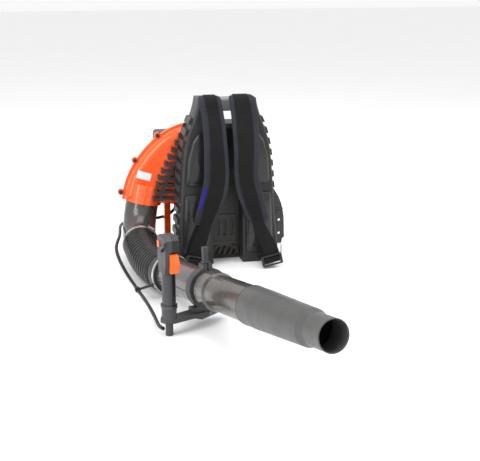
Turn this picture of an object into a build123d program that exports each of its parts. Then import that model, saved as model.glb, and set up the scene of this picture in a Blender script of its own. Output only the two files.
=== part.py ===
"""Backpack leaf blower: petrol engine and fan on a harness frame, hose and tube to the front.

Frame of reference: +Z up, +Y towards the engine, -Y towards the wearer and the nozzle,
+X to the right of someone who looks at the harness. The origin is the middle of the flat
underside of the base.
"""
import os
from math import cos, pi, radians, sin, tan

from build123d import *

os.makedirs("parts", exist_ok=True)

# ---------------------------------------------------------------- driving dimensions (mm)
FRAME_H = 524          # back frame, floor to top
FRAME_FRONT = -120     # Y of the front rim of the back frame
FRAME_BACK = -30       # Y of the open rear edge of the back frame
FRAME_WALL = 4
CHANNEL_W = 96         # ventilation channel between the two back bulges
CHANNEL_Y = -60        # Y of the channel floor
BASE_T = 6             # base plate thickness
BASE_DEPTH = 200       # base plate, from the frame's open edge to its rear edge
BASE_HALF = 180
WINDOW_W = 96          # hand opening under the carry handle
WINDOW_Z = (447, 500)
BLOCK_STEP = 8         # stepped blocks along the frame's sides
BLOCK_H = 19
BLOCK_GAP = 16

FAN_X = -10            # crank and fan axis
FAN_Z = 235
FAN_R = 128            # impeller radius
HOUSING_FRONT = -12
HOUSING_SPLIT = 35
HOUSING_BACK = 84
HOUSING_WALL = 3.2
INLET_R = 78

DUCT_OD = 106          # elbow and bellows cuff bore
DUCT_WALL = 3
ELBOW_R = 112          # bend radius of the elbow's centre line
ELBOW_TURN = 86.5
OUTLET = (-250, 35, 180)
OUTLET_LEAN = 11.5     # degrees that the outlet leans to the left of straight down
COLLAR_OD = 121
SOCKET = 26            # how far the elbow goes up into the collar

BELLOWS_OD = 113

TUBE_AT = (-172, -663, 103)   # tube axis where the handle clamp sits
TUBE_HEADING = 13.2    # degrees towards +X from -Y
TUBE_PITCH = 7.6       # degrees upwards towards the tip
TUBE_OD = 98
TUBE_WALL = 2.4
TUBE_BACK = -300       # along the axis from the clamp
TUBE_END = 75
MIDDLE_END = 325
NOZZLE_SHOULDER = 560
NOZZLE_TIP = 650
NOZZLE_OD = 76         # at the tip
LAP = 45               # overlap of one tube inside the next

BORE = 48
STROKE = 34
ROD_L = 58
CRANK_Y = 123          # middle of the connecting rod
CASE_R = 50
RUN_FIT = 0.05         # radial gap of a running fit
GAP = 0.4              # gap between pieces that move past each other

STRAP_T = 12
WEB_T = 3

PAD_T = 16


def upright(y):
    """Sketch plane at Y = y that faces -Y, with X to the right and Z up."""
    return Plane(origin=(0, y, 0), x_dir=(1, 0, 0), z_dir=(0, -1, 0))


def level(z):
    """Horizontal sketch plane at height z."""
    return Plane.XY.offset(z)


# ---------------------------------------------------------------- back frame and harness
EDGE_MARKS = [(0, 165), (60, 162), (165, 151), (250, 146), (335, 139), (408, 126), (470, 103), (524, 90)]
edge = [(z * FRAME_H / 524, half) for z, half in EDGE_MARKS]


def half_width(z):
    """Half width of the back frame at height z."""
    for (z0, w0), (z1, w1) in zip(edge, edge[1:]):
        if z <= z1:
            return w0 + (w1 - w0) * (z - z0) / (z1 - z0)
    return edge[-1][1]


def frame_face(inset, bottom, top, mode=Mode.ADD):
    """Front view of the back frame between two heights, its sides moved inwards by inset."""
    heights = [bottom] + [z for z, half in edge if bottom + 10 < z < top - 10] + [top]
    right = [(half_width(z) - inset, z) for z in heights]
    left = [(-x, z) for x, z in reversed(right)]
    with BuildLine() as outline:
        Spline(*right)
        Line(right[-1], left[0])
        Spline(*left)
        Line(left[-1], right[0])
    make_face(outline.edges(), mode=mode)


FRAME_DEPTH = FRAME_BACK - FRAME_FRONT
BLOCKS_FROM = 60
BLOCKS_TO = 470
BLOCK_PITCH = BLOCK_H + BLOCK_GAP

with BuildPart() as back_frame:
    with BuildSketch(upright(FRAME_BACK)):
        frame_face(0, 0, FRAME_H)
    extrude(amount=FRAME_DEPTH)
    fillet(back_frame.faces().sort_by(Axis.Y)[0].edges().sort_by(Axis.Z)[1:], 8)
    # deep channel for air between the wearer's back and the machine
    with BuildSketch(upright(CHANNEL_Y)):
        with Locations((0, WINDOW_Z[0] / 2)):
            RectangleRounded(CHANNEL_W, WINDOW_Z[0] - 30, 14)
        with Locations((0, 20)):
            Rectangle(CHANNEL_W, 60)
    extrude(amount=CHANNEL_Y - FRAME_FRONT + 1, mode=Mode.SUBTRACT)
    # the shell is open at the rear, left and right of the channel
    with BuildSketch(upright(FRAME_BACK + 1)):
        frame_face(FRAME_WALL, BASE_T, FRAME_H - FRAME_WALL)
        with Locations((0, WINDOW_Z[0] / 2)):
            Rectangle(CHANNEL_W + 2 * FRAME_WALL, WINDOW_Z[0] + 2 * FRAME_WALL, mode=Mode.SUBTRACT)
        with Locations((0, FRAME_H)):
            Rectangle(WINDOW_W + 2 * FRAME_WALL, 2 * (FRAME_H - WINDOW_Z[0]), mode=Mode.SUBTRACT)
    extrude(amount=FRAME_DEPTH + 1 - FRAME_WALL, mode=Mode.SUBTRACT)
    with BuildSketch(upright(FRAME_BACK + 1)):
        with Locations((0, (BASE_T + WINDOW_Z[0] - FRAME_WALL) / 2)):
            Rectangle(CHANNEL_W, WINDOW_Z[0] - FRAME_WALL - BASE_T)
    extrude(amount=FRAME_BACK - CHANNEL_Y + 1 - FRAME_WALL, mode=Mode.SUBTRACT)
    # hand opening, and the notch that takes the carry handle
    with BuildSketch(upright(FRAME_BACK + 1)):
        with Locations((0, (WINDOW_Z[0] + FRAME_H) / 2 + 5)):
            Rectangle(WINDOW_W, FRAME_H - WINDOW_Z[0] + 10)
    extrude(amount=FRAME_DEPTH + 2, mode=Mode.SUBTRACT)
    # arch at the foot of the channel
    with BuildSketch(upright(FRAME_BACK)):
        with Locations((0, 12)):
            Ellipse(48, 32)
        with Locations((0, 0)):
            Rectangle(120, 24, mode=Mode.SUBTRACT)
    extrude(amount=FRAME_DEPTH + 2, mode=Mode.SUBTRACT)
    # stepped blocks along both sides
    with BuildSketch(upright(FRAME_BACK)):
        frame_face(-BLOCK_STEP, BLOCKS_FROM, BLOCKS_TO)
        block_count = int((BLOCKS_TO - BLOCKS_FROM) / BLOCK_PITCH)
        gap_heights = [BLOCKS_FROM + BLOCK_H + BLOCK_GAP / 2 + i * BLOCK_PITCH for i in range(block_count + 1)]
        with Locations(*[(0, z) for z in gap_heights]):
            Rectangle(3 * BASE_HALF, BLOCK_GAP, mode=Mode.SUBTRACT)
        frame_face(FRAME_WALL / 2, 0, FRAME_H, mode=Mode.SUBTRACT)
    extrude(amount=FRAME_DEPTH - 18)
    # base plate that carries the engine, with a low rim
    with BuildSketch(level(0)):
        with Locations((0, FRAME_BACK + BASE_DEPTH / 2 - 5)):
            RectangleRounded(2 * BASE_HALF, BASE_DEPTH + 10, 4.5)
    extrude(amount=BASE_T)
    with BuildSketch(level(BASE_T)):
        with Locations((0, FRAME_BACK + BASE_DEPTH / 2)):
            Rectangle(2 * BASE_HALF, BASE_DEPTH)
            Rectangle(2 * BASE_HALF - 10, BASE_DEPTH - 10, mode=Mode.SUBTRACT)
        with Locations((0, FRAME_BACK)):
            Rectangle(2 * BASE_HALF - 24, 20, mode=Mode.SUBTRACT)
    extrude(amount=14)
back_frame.part.label = "back_frame"
export_step(back_frame.part, "parts/back_frame.step")

HANDLE_Z = 512         # middle of the carry handle bar
with BuildPart() as carry_handle:
    with BuildSketch(upright(FRAME_BACK - 20)):
        with Locations((0, HANDLE_Z)):
            Rectangle(WINDOW_W, 21)
        with BuildLine():
            Polyline((-34, HANDLE_Z - 8), (34, HANDLE_Z - 8), (12, HANDLE_Z - 28), (-12, HANDLE_Z - 28), close=True)
        make_face()
    extrude(amount=FRAME_DEPTH - 34)
    fillet(carry_handle.edges().filter_by(Axis.X).group_by(Axis.Z)[-1], 7)
carry_handle.part.label = "carry_handle"
export_step(carry_handle.part, "parts/carry_handle.step")

PANEL_Y = CHANNEL_Y
SLOT_W = 11
with BuildPart() as vent_panel:
    with BuildSketch(upright(PANEL_Y)):
        with Locations((0, 100)):
            RectangleRounded(74, 92, 5)
        with Locations(*[(x, 104) for x in (-22, 0, 22)]):
            RectangleRounded(SLOT_W, 52, 3, mode=Mode.SUBTRACT)
    extrude(amount=4)
    with BuildSketch(upright(PANEL_Y)):
        with Locations((0, 12)):
            Ellipse(47.5, 37)
            Ellipse(44, 30, mode=Mode.SUBTRACT)
        with Locations((0, -24)):
            Rectangle(120, 60, mode=Mode.SUBTRACT)
        with Locations((0, 52)):
            Rectangle(74, 12)
    extrude(amount=5)
    # slanted louvres under the arch
    with BuildSketch(upright(PANEL_Y)):
        with Locations((0, 12)):
            Ellipse(45, 31)
            Rectangle(120, 4, mode=Mode.SUBTRACT)
            with Locations((0, -20)):
                Rectangle(120, 40, mode=Mode.SUBTRACT)
        with Locations(*[(x, 28, 0) for x in (-40, -22, -4, 14, 32)]):
            Rectangle(9, 90, rotation=-24, mode=Mode.SUBTRACT)
    extrude(amount=4)
vent_panel.part.label = "vent_panel"
export_step(vent_panel.part, "parts/vent_panel.step")

UPPER_PAD = (255, 428)
LOWER_PAD = (33, 229)
with BuildPart() as back_pads:
    for side in (-1, 1):
        with BuildSketch(upright(FRAME_FRONT)):
            with BuildLine():
                Polyline(
                    (side * 56, UPPER_PAD[0]),
                    (side * 134, UPPER_PAD[0]),
                    (side * 128, 340),
                    (side * 112, 398),
                    (side * 92, UPPER_PAD[1]),
                    (side * 56, UPPER_PAD[1] - 20),
                    close=True,
                )
            make_face()
            with BuildLine():
                Polyline(
                    (side * 56, LOWER_PAD[0]),
                    (side * 148, LOWER_PAD[0]),
                    (side * 138, LOWER_PAD[1]),
                    (side * 56, LOWER_PAD[1]),
                    close=True,
                )
            make_face()
        extrude(amount=PAD_T)
    fillet(back_pads.edges().filter_by(Axis.Y), 11)
    fillet(back_pads.faces().group_by(Axis.Y)[0].edges(), 9)
back_pads.part.label = "back_pads"
export_step(back_pads.part, "parts/back_pads.step")


# ------------------------------------------------------------ harness straps
STRAP_OUT = -158       # Y of the strap's front face at its middle
STRAP_TOP = FRAME_H + 5
STRAP_BOTTOM = 136


def strap_profile(thickness, bottom, top):
    """Side view of a hanging strap: over the frame's top edge, out, and back to the pad."""
    def front_y(z):
        share = (z - STRAP_BOTTOM) / (STRAP_TOP - STRAP_BOTTOM)
        return STRAP_OUT - 24 * sin(pi * min(max(share, 0), 1)) + 16 * max(share - 0.75, 0) * 4
    steps = 6
    heights = [bottom + (top - bottom) * i / steps for i in range(steps + 1)]
    outer = [(front_y(z), z) for z in heights]
    inner = [(y + thickness, z) for y, z in outer]
    with BuildLine() as outline:
        Spline(*outer)
        Line(outer[-1], inner[-1])
        Spline(*reversed(inner))
        Line(inner[0], outer[0])
    make_face(outline.edges())


def strap_outline(side):
    """Front view of a padded shoulder strap; side is -1 left, 1 right."""
    if side < 0:
        outer = [(-96, STRAP_TOP), (-87, 470), (-85, 376), (-86, 283), (-100, 215), (-116, 150)]
        inner = [(-49, STRAP_BOTTOM), (-30, 190), (-12, 240), (-7, 300), (-12, 376), (-17, 460), (-25, STRAP_TOP)]
    else:
        outer = [(80, STRAP_TOP), (86, 470), (87, 376), (84, 283), (105, 215), (126, 140)]
        inner = [(59, STRAP_BOTTOM), (36, 190), (14, 250), (8, 300), (7, 376), (4, 460), (0, STRAP_TOP)]
    with BuildLine() as outline:
        Spline(*outer)
        Line(outer[-1], inner[0])
        Spline(*inner)
        Line(inner[-1], outer[0])
    make_face(outline.edges())


with BuildPart() as shoulder_strap_left:
    with BuildSketch(Plane.YZ.offset(-140)):
        strap_profile(STRAP_T, STRAP_BOTTOM - 2, STRAP_TOP)
    extrude(amount=160)
    with BuildSketch(upright(-60)):
        strap_outline(-1)
    extrude(amount=160, mode=Mode.INTERSECT)
shoulder_strap_left.part.label = "shoulder_strap_left"
export_step(shoulder_strap_left.part, "parts/shoulder_strap_left.step")

with BuildPart() as shoulder_strap_right:
    with BuildSketch(Plane.YZ.offset(-20)):
        strap_profile(STRAP_T, STRAP_BOTTOM - 2, STRAP_TOP)
    extrude(amount=160)
    with BuildSketch(upright(-60)):
        strap_outline(1)
    extrude(amount=160, mode=Mode.INTERSECT)
shoulder_strap_right.part.label = "shoulder_strap_right"
export_step(shoulder_strap_right.part, "parts/shoulder_strap_right.step")


# ------------------------------------------------------------ webbing and buckles below the straps
BUCKLE_LEFT = (-112, -172, 26)
BUCKLE_RIGHT = (122, -204, 27)
PAD_FOOT_LEFT = (-84, -151.6, 132)
PAD_FOOT_RIGHT = (94, -151.6, 131)
WEB_W = 50
WEB_BEHIND = 6         # the webbing hangs this far behind the buckle's middle plane
ANCHOR = 20            # height of the webbing's anchor on the frame


def band_plane(low, high):
    """Plane square to a band that runs from low to high, with x across the band's width."""
    run = Vector(*high) - Vector(*low)
    across = Vector(1, 0, -run.X / run.Z)
    return Plane(origin=low, x_dir=across, z_dir=run.normalized()), run.length


def add_webbing(buckle, pad_foot):
    """Webbing from the strap's foot down to the buckle, and from the buckle back to the frame."""
    start = (buckle[0], buckle[1] + WEB_BEHIND, buckle[2] - 4)
    lie, length = band_plane(start, pad_foot)
    with BuildSketch(lie) as hanging:
        Rectangle(WEB_W, WEB_T)
    extrude(hanging.sketch, amount=length)
    back = Plane(origin=(buckle[0], buckle[1] + 9, ANCHOR), x_dir=(1, 0, 0), z_dir=(0, 1, 0))
    with BuildSketch(back) as tail:
        Rectangle(WEB_W, WEB_T)
    extrude(tail.sketch, amount=FRAME_FRONT - buckle[1] - 9)


with BuildPart() as strap_webbing:
    add_webbing(BUCKLE_LEFT, PAD_FOOT_LEFT)
    add_webbing(BUCKLE_RIGHT, PAD_FOOT_RIGHT)
strap_webbing.part.label = "strap_webbing"
export_step(strap_webbing.part, "parts/strap_webbing.step")

LOCK_W = 66
LOCK_H = 34
LOCK_T = 7
with BuildPart() as ladder_lock_buckles:
    for centre, roll in ((BUCKLE_LEFT, -14), (BUCKLE_RIGHT, 12)):
        lie = Plane(origin=centre, x_dir=(cos(radians(roll)), 0, sin(radians(roll))), z_dir=(0, -1, 0))
        with BuildSketch(lie.offset(-LOCK_T / 2)):
            RectangleRounded(LOCK_W, LOCK_H, 4)
            with Locations((0, 9), (0, -9)):
                Rectangle(LOCK_W - 14, 9, mode=Mode.SUBTRACT)
        extrude(amount=LOCK_T)
ladder_lock_buckles.part.label = "ladder_lock_buckles"
export_step(ladder_lock_buckles.part, "parts/ladder_lock_buckles.step")

# ------------------------------------------------------------ hip belt bracket
BRACKET_Y = -60
BRACKET_T = 3
BRACKET_IN = BLOCK_STEP + 1.2   # the plate stands just off the frame's blocks
HIP_HOLES = (118, 74)  # heights of the two belt holes
HIP_X = 180
HIP_HOLE_D = 8
with BuildPart() as hip_belt_bracket:
    with BuildSketch(upright(BRACKET_Y)):
        with BuildLine():
            Polyline((half_width(40) + BRACKET_IN, 40), (189, 40), (191, 55), (198, 60), (196, 130),
                     (188, 172), (176, 200), (half_width(232) + BRACKET_IN, 232),
                     (half_width(150) + BRACKET_IN, 150), close=True)
        make_face()
        with Locations(*[(HIP_X, z) for z in HIP_HOLES]):
            Circle(HIP_HOLE_D / 2, mode=Mode.SUBTRACT)
    extrude(amount=BRACKET_T)
    with BuildSketch(upright(BRACKET_Y - BRACKET_T)):
        with Locations((180, 146), (180, 156)):
            Rectangle(26, 4)
    extrude(amount=2.5)
hip_belt_bracket.part.label = "hip_belt_bracket"
export_step(hip_belt_bracket.part, "parts/hip_belt_bracket.step")

RING_R = 2.2
with BuildPart() as d_ring:
    with BuildSketch(upright(BRACKET_Y)):
        with Locations((179, 22)):
            RectangleRounded(26, 36, 7)
            RectangleRounded(26 - 4 * RING_R, 36 - 4 * RING_R, 3, mode=Mode.SUBTRACT)
    extrude(amount=2 * RING_R - 0.4)
    chamfer(d_ring.faces().sort_by(Axis.Y)[0].edges(), 0.8)
d_ring.part.label = "d_ring"
export_step(d_ring.part, "parts/d_ring.step")


# ---------------------------------------------------------------- fan housing
def scroll_radius(angle):
    """Radius of the scroll's outer wall at an angle in degrees, from the tongue round to the outlet."""
    marks = [(205, 150), (240, 153), (290, 158), (340, 166), (405, 176), (434, 182), (452, 193),
             (472, 208), (492, 228), (513, 250), (536, 285)]
    for (a0, r0), (a1, r1) in zip(marks, marks[1:]):
        if angle <= a1:
            return r0 + (r1 - r0) * (angle - a0) / (a1 - a0)
    return marks[-1][1]


def scroll_point(angle, out=0.0):
    """Point of the scroll wall in front view, moved outwards by out."""
    r = scroll_radius(angle) + out
    return (FAN_X + r * cos(radians(angle)), FAN_Z + r * sin(radians(angle)))


LEAN = radians(OUTLET_LEAN)
OUT_DIR = (-sin(LEAN), 0, -cos(LEAN))
OUT_SIDE = (cos(LEAN), 0, -sin(LEAN))


def scroll_face(inset, mode=Mode.ADD):
    """Front view of the scroll, its wall moved inwards by inset."""
    half = COLLAR_OD / 2 - inset
    angles = [206, 225, 250, 275, 300, 330, 360, 390, 420, 440, 456, 472, 492, 513, 536]
    wall = [scroll_point(a, -inset) for a in angles]
    left_foot = (OUTLET[0] - OUT_SIDE[0] * half, OUTLET[2] - OUT_SIDE[2] * half + 4 + inset)
    right_foot = (OUTLET[0] + OUT_SIDE[0] * half, OUTLET[2] + OUT_SIDE[2] * half + 10 + inset)
    with BuildLine() as outline:
        Spline(*wall, left_foot)
        Line(left_foot, right_foot)
        Line(right_foot, wall[0])
    make_face(outline.edges(), mode=mode)


def outlet_plane(along):
    """Plane square to the outlet duct, along mm past the outlet's end."""
    origin = [OUTLET[i] + OUT_DIR[i] * along for i in range(3)]
    return Plane(origin=origin, x_dir=(0, 1, 0), z_dir=OUT_DIR)


COLLAR_L = 62
EAR_ANGLES = [228, 268, 308, 348, 388, 428, 470, 500, 523]
EAR_OUT = 8
SCREW_R = 4
HOUSING_ROUND = 24
REAR_ROUND = 14
ears = [scroll_point(a, EAR_OUT) for a in EAR_ANGLES]
ears.append((OUTLET[0] - COLLAR_OD / 2 - EAR_OUT, OUTLET[2] + 34))
LEG_LEFT = (-176, -156)
LEG_RIGHT = (118, 142)
LEG_FOOT = 30

# air space of the two housing halves
with BuildPart() as front_air:
    with BuildSketch(upright(HOUSING_SPLIT)):
        scroll_face(HOUSING_WALL)
    extrude(amount=HOUSING_SPLIT - HOUSING_FRONT - HOUSING_WALL)
    fillet(front_air.faces().sort_by(Axis.Y)[0].edges(), HOUSING_ROUND - HOUSING_WALL)

with BuildPart() as rear_air:
    with BuildSketch(upright(HOUSING_BACK - HOUSING_WALL)):
        scroll_face(HOUSING_WALL)
    extrude(amount=HOUSING_BACK - HOUSING_SPLIT - HOUSING_WALL)
    fillet(rear_air.faces().sort_by(Axis.Y)[-1].edges(), REAR_ROUND - HOUSING_WALL)

with BuildPart() as fan_housing_front:
    with BuildSketch(upright(HOUSING_SPLIT)):
        scroll_face(0)
    extrude(amount=HOUSING_SPLIT - HOUSING_FRONT)
    fillet(fan_housing_front.faces().sort_by(Axis.Y)[0].edges(), HOUSING_ROUND)
    with BuildSketch(outlet_plane(-COLLAR_L)):
        Circle(COLLAR_OD / 2)
    extrude(amount=COLLAR_L)
    with BuildSketch(upright(HOUSING_SPLIT)):
        scroll_face(-6)
        scroll_face(8, mode=Mode.SUBTRACT)
        with Locations(*ears):
            Circle(10)
        scroll_face(8, mode=Mode.SUBTRACT)
    extrude(amount=5)
    add(front_air.part, mode=Mode.SUBTRACT)
    with BuildSketch(outlet_plane(HOUSING_WALL - COLLAR_L)):
        Circle(DUCT_OD / 2)
    extrude(amount=COLLAR_L + 20, mode=Mode.SUBTRACT)
    with BuildSketch(upright(HOUSING_SPLIT)):
        with Locations((FAN_X, FAN_Z)):
            Circle(INLET_R)
    extrude(amount=100, mode=Mode.SUBTRACT)
    with BuildSketch(upright(HOUSING_SPLIT)):
        with Locations(*ears):
            Circle(SCREW_R)
    extrude(amount=20, mode=Mode.SUBTRACT)
    split(bisect_by=Plane(origin=(0, HOUSING_SPLIT, 0), z_dir=(0, -1, 0)), keep=Keep.TOP)
fan_housing_front.part.label = "fan_housing_front"
export_step(fan_housing_front.part, "parts/fan_housing_front.step")

LEG_DEPTH = (52, HOUSING_BACK)
BEARING_R = 16
BEARING_W = 10
SHAFT_R = 7.5
with BuildPart() as fan_housing_rear:
    with BuildSketch(upright(HOUSING_BACK)):
        scroll_face(0)
    extrude(amount=HOUSING_BACK - HOUSING_SPLIT)
    fillet(fan_housing_rear.faces().sort_by(Axis.Y)[-1].edges(), REAR_ROUND)
    with BuildSketch(outlet_plane(-COLLAR_L)):
        Circle(COLLAR_OD / 2)
    extrude(amount=COLLAR_L)
    with BuildSketch(upright(HOUSING_SPLIT + 5)):
        scroll_face(-6)
        with Locations(*ears):
            Circle(10)
    extrude(amount=5)
    # legs down to the rubber mounts
    with BuildSketch(level(LEG_FOOT)):
        for x0, x1 in (LEG_LEFT, LEG_RIGHT):
            with Locations(((x0 + x1) / 2, (LEG_DEPTH[0] + LEG_DEPTH[1]) / 2)):
                Rectangle(x1 - x0, LEG_DEPTH[1] - LEG_DEPTH[0])
    extrude(amount=FAN_Z - 45 - LEG_FOOT)
    add(rear_air.part, mode=Mode.SUBTRACT)
    with BuildSketch(outlet_plane(HOUSING_WALL - COLLAR_L)):
        Circle(DUCT_OD / 2)
    extrude(amount=COLLAR_L + 20, mode=Mode.SUBTRACT)
    with BuildSketch(upright(HOUSING_BACK + 1)):
        with Locations((FAN_X, FAN_Z)):
            Circle(BEARING_R)
        with Locations(*ears):
            Circle(SCREW_R)
    extrude(amount=60, mode=Mode.SUBTRACT)
    split(bisect_by=Plane(origin=(0, HOUSING_SPLIT, 0), z_dir=(0, 1, 0)), keep=Keep.TOP)
fan_housing_rear.part.label = "fan_housing_rear"
export_step(fan_housing_rear.part, "parts/fan_housing_rear.step")

HEAD_R = 6.5
with BuildPart() as housing_screws:
    with BuildSketch(upright(HOUSING_SPLIT + 5)):
        with Locations(*ears):
            Circle(SCREW_R)
    extrude(amount=10)
    with BuildSketch(upright(HOUSING_SPLIT - 5)):
        with Locations(*ears):
            Circle(HEAD_R)
            RegularPolygon(3, 6, mode=Mode.SUBTRACT)
    extrude(amount=5)
    with BuildSketch(upright(HOUSING_SPLIT - 5)):
        with Locations(*ears):
            Circle(4.5)
    extrude(amount=2)
housing_screws.part.label = "housing_screws"
export_step(housing_screws.part, "parts/housing_screws.step")

MOUNT_R = 8
with BuildPart() as antivibration_mounts:
    with BuildSketch(level(BASE_T)):
        for x0, x1 in (LEG_LEFT, LEG_RIGHT):
            with Locations(((x0 + x1) / 2, (LEG_DEPTH[0] + LEG_DEPTH[1]) / 2)):
                Circle(MOUNT_R)
    extrude(amount=LEG_FOOT - BASE_T)
antivibration_mounts.part.label = "antivibration_mounts"
export_step(antivibration_mounts.part, "parts/antivibration_mounts.step")

# intake screen: level slats between the housing's front and the frame
SLATS = 11
SLAT_PITCH = 22
SLAT_LOW = 197
SLAT_T = 9


def grille_reach(z):
    """How far left the intake screen reaches at height z."""
    marks = [(190, 226), (260, 207), (331, 172), (440, 116)]
    for (z0, x0), (z1, x1) in zip(marks, marks[1:]):
        if z <= z1:
            return x0 + (x1 - x0) * (z - z0) / (z1 - z0)
    return marks[-1][1]


with BuildPart() as intake_grille:
    with BuildSketch(upright(HOUSING_FRONT)):
        for i in range(SLATS):
            z = SLAT_LOW + i * SLAT_PITCH
            rim = half_width(z) - 6
            reach = grille_reach(z)
            with Locations((-(rim + reach) / 2, z)):
                Rectangle(reach - rim, SLAT_T)
            with Locations((-reach + 4, z + 5)):
                Rectangle(8, 13)
            with Locations((rim + 9, z)):
                Rectangle(18, SLAT_T)
    extrude(amount=HOUSING_FRONT - FRAME_BACK)
    # rails along the frame's sides and the slanted rib that ties the slats
    with BuildSketch(upright(FRAME_BACK + 6)):
        frame_face(-BLOCK_STEP, SLAT_LOW - 3, SLAT_LOW + SLATS * SLAT_PITCH)
        frame_face(3, 0, FRAME_H, mode=Mode.SUBTRACT)
    extrude(amount=6)
    with BuildSketch(upright(FRAME_BACK + 6)):
        with BuildLine():
            Polyline((-207, SLAT_LOW - 3), (-197, SLAT_LOW - 3), (-150, 312), (-160, 312), close=True)
        make_face()
    extrude(amount=6)
    with BuildSketch(outlet_plane(-COLLAR_L - 1)):
        Circle(COLLAR_OD / 2 + GAP)
    extrude(amount=COLLAR_L + 2, mode=Mode.SUBTRACT)
intake_grille.part.label = "intake_grille"
export_step(intake_grille.part, "parts/intake_grille.step")

# ---------------------------------------------------------------- fan and crankshaft
FAN_BLADES = 13
FAN_Y = (4, 74)        # blade tips to the rear of the back disc
with BuildPart() as fan_impeller:
    with BuildSketch(upright(FAN_Y[1])):
        with Locations((FAN_X, FAN_Z)):
            Circle(FAN_R)
            Circle(SHAFT_R, mode=Mode.SUBTRACT)
    extrude(amount=4)
    with BuildSketch(upright(FAN_Y[1] - 4)):
        with Locations((FAN_X, FAN_Z)):
            Circle(24)
            Circle(SHAFT_R, mode=Mode.SUBTRACT)
    extrude(amount=34)
    with BuildSketch(upright(FAN_Y[1] - 4)):
        for i in range(FAN_BLADES):
            turn = 2 * pi * i / FAN_BLADES
            with BuildLine():
                steps = [(58 + k * (FAN_R - 60) / 4, turn + k * 0.13) for k in range(5)]
                front = [(FAN_X + r * cos(t), FAN_Z + r * sin(t)) for r, t in steps]
                back = [(FAN_X + r * cos(t + 2.6 / r), FAN_Z + r * sin(t + 2.6 / r)) for r, t in steps]
                Polyline(*front, *reversed(back), close=True)
            make_face()
    extrude(amount=FAN_Y[1] - 4 - FAN_Y[0])
    with BuildSketch(upright(FAN_Y[0] + 3)):
        with Locations((FAN_X, FAN_Z)):
            Circle(FAN_R)
            Circle(INLET_R + 4, mode=Mode.SUBTRACT)
    extrude(amount=3)
fan_impeller.part.label = "fan_impeller"
export_step(fan_impeller.part, "parts/fan_impeller.step")

CASE_Y = (HOUSING_BACK, 158)
WEB_OUT = 14           # from the rod's middle plane to a crank web's far side
WEB_IN = 5
CAVITY_R = 43
CRANK_WEB_R = 24       # clears the piston's skirt at the bottom of the stroke
with BuildPart() as crankshaft:
    for y0, y1, r in (
        (FAN_Y[1] - 42, CRANK_Y - WEB_OUT, SHAFT_R),
        (CRANK_Y - WEB_OUT, CRANK_Y - WEB_IN, CRANK_WEB_R),
        (CRANK_Y + WEB_IN, CRANK_Y + WEB_OUT, CRANK_WEB_R),
        (CRANK_Y + WEB_OUT, 174, SHAFT_R),
    ):
        with BuildSketch(upright(y1)):
            with Locations((FAN_X, FAN_Z)):
                Circle(r)
        extrude(amount=y1 - y0)
crankshaft.part.label = "crankshaft"
export_step(crankshaft.part, "parts/crankshaft.step")

HEAD_FLANGE_Z = FAN_Z + 54
with BuildPart() as crankcase:
    with BuildSketch(upright(CASE_Y[1])):
        with Locations((FAN_X, FAN_Z)):
            Circle(CASE_R)
        with Locations((FAN_X, FAN_Z + 36)):
            Rectangle(70, 36)
        with Locations((FAN_X, FAN_Z - 40)):
            Rectangle(90, 30)
    extrude(amount=CASE_Y[1] - CASE_Y[0])
    with BuildSketch(upright(CRANK_Y + WEB_OUT + 2)):
        with Locations((FAN_X, FAN_Z)):
            Circle(CAVITY_R)
    extrude(amount=2 * WEB_OUT + 4, mode=Mode.SUBTRACT)
    with BuildSketch(level(FAN_Z)):
        with Locations((FAN_X, CRANK_Y)):
            Circle(BORE / 2 + 1)
    extrude(amount=60, mode=Mode.SUBTRACT)
    with BuildSketch(upright(CASE_Y[1] + 1)):
        with Locations((FAN_X, FAN_Z)):
            Circle(BEARING_R)
    extrude(amount=CASE_Y[1] - CASE_Y[0] + 2, mode=Mode.SUBTRACT)
crankcase.part.label = "crankcase"
export_step(crankcase.part, "parts/crankcase.step")

with BuildPart() as main_bearings:
    for y1 in (CRANK_Y - WEB_OUT - 1, CRANK_Y + WEB_OUT + 1 + BEARING_W):
        with BuildSketch(upright(y1)):
            with Locations((FAN_X, FAN_Z)):
                Circle(BEARING_R)
                Circle(SHAFT_R + RUN_FIT, mode=Mode.SUBTRACT)
        extrude(amount=BEARING_W)
main_bearings.part.label = "main_bearings"
export_step(main_bearings.part, "parts/main_bearings.step")

PIN_Z = FAN_Z + STROKE / 2 + ROD_L     # piston pin at the top of the stroke
CROWN_Z = PIN_Z + 15
with BuildPart() as cylinder:
    with BuildSketch(level(HEAD_FLANGE_Z)):
        with Locations((FAN_X, CRANK_Y)):
            Rectangle(66, 60)
    extrude(amount=6)
    with BuildSketch(level(HEAD_FLANGE_Z)):
        with Locations((FAN_X, CRANK_Y)):
            Circle(BORE / 2 + 5)
    extrude(amount=CROWN_Z + 8 - HEAD_FLANGE_Z)
    for i in range(7):
        with BuildSketch(level(HEAD_FLANGE_Z + 10 + 6 * i)):
            with Locations((FAN_X, CRANK_Y)):
                RectangleRounded(88, 66, 8)
        extrude(amount=2)
    with BuildSketch(level(HEAD_FLANGE_Z)):
        with Locations((FAN_X, CRANK_Y)):
            Rectangle(14, 40)
    extrude(amount=CROWN_Z + 14 - HEAD_FLANGE_Z)
    # inlet port to the left, exhaust port to the right
    with BuildSketch(Plane.YZ.offset(FAN_X - 48)):
        with Locations((CRANK_Y, HEAD_FLANGE_Z + 22)):
            Rectangle(34, 30)
    extrude(amount=96)
    with BuildSketch(level(HEAD_FLANGE_Z)):
        with Locations((FAN_X, CRANK_Y)):
            Circle(BORE / 2)
    extrude(amount=CROWN_Z + 2 - HEAD_FLANGE_Z, mode=Mode.SUBTRACT)
    with BuildSketch(Plane.YZ.offset(FAN_X - 50)):
        with Locations((CRANK_Y, HEAD_FLANGE_Z + 22)):
            Circle(9)
    extrude(amount=100, mode=Mode.SUBTRACT)
    with BuildSketch(level(CROWN_Z)):
        with Locations((FAN_X, CRANK_Y)):
            Circle(6)
    extrude(amount=20, mode=Mode.SUBTRACT)
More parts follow.
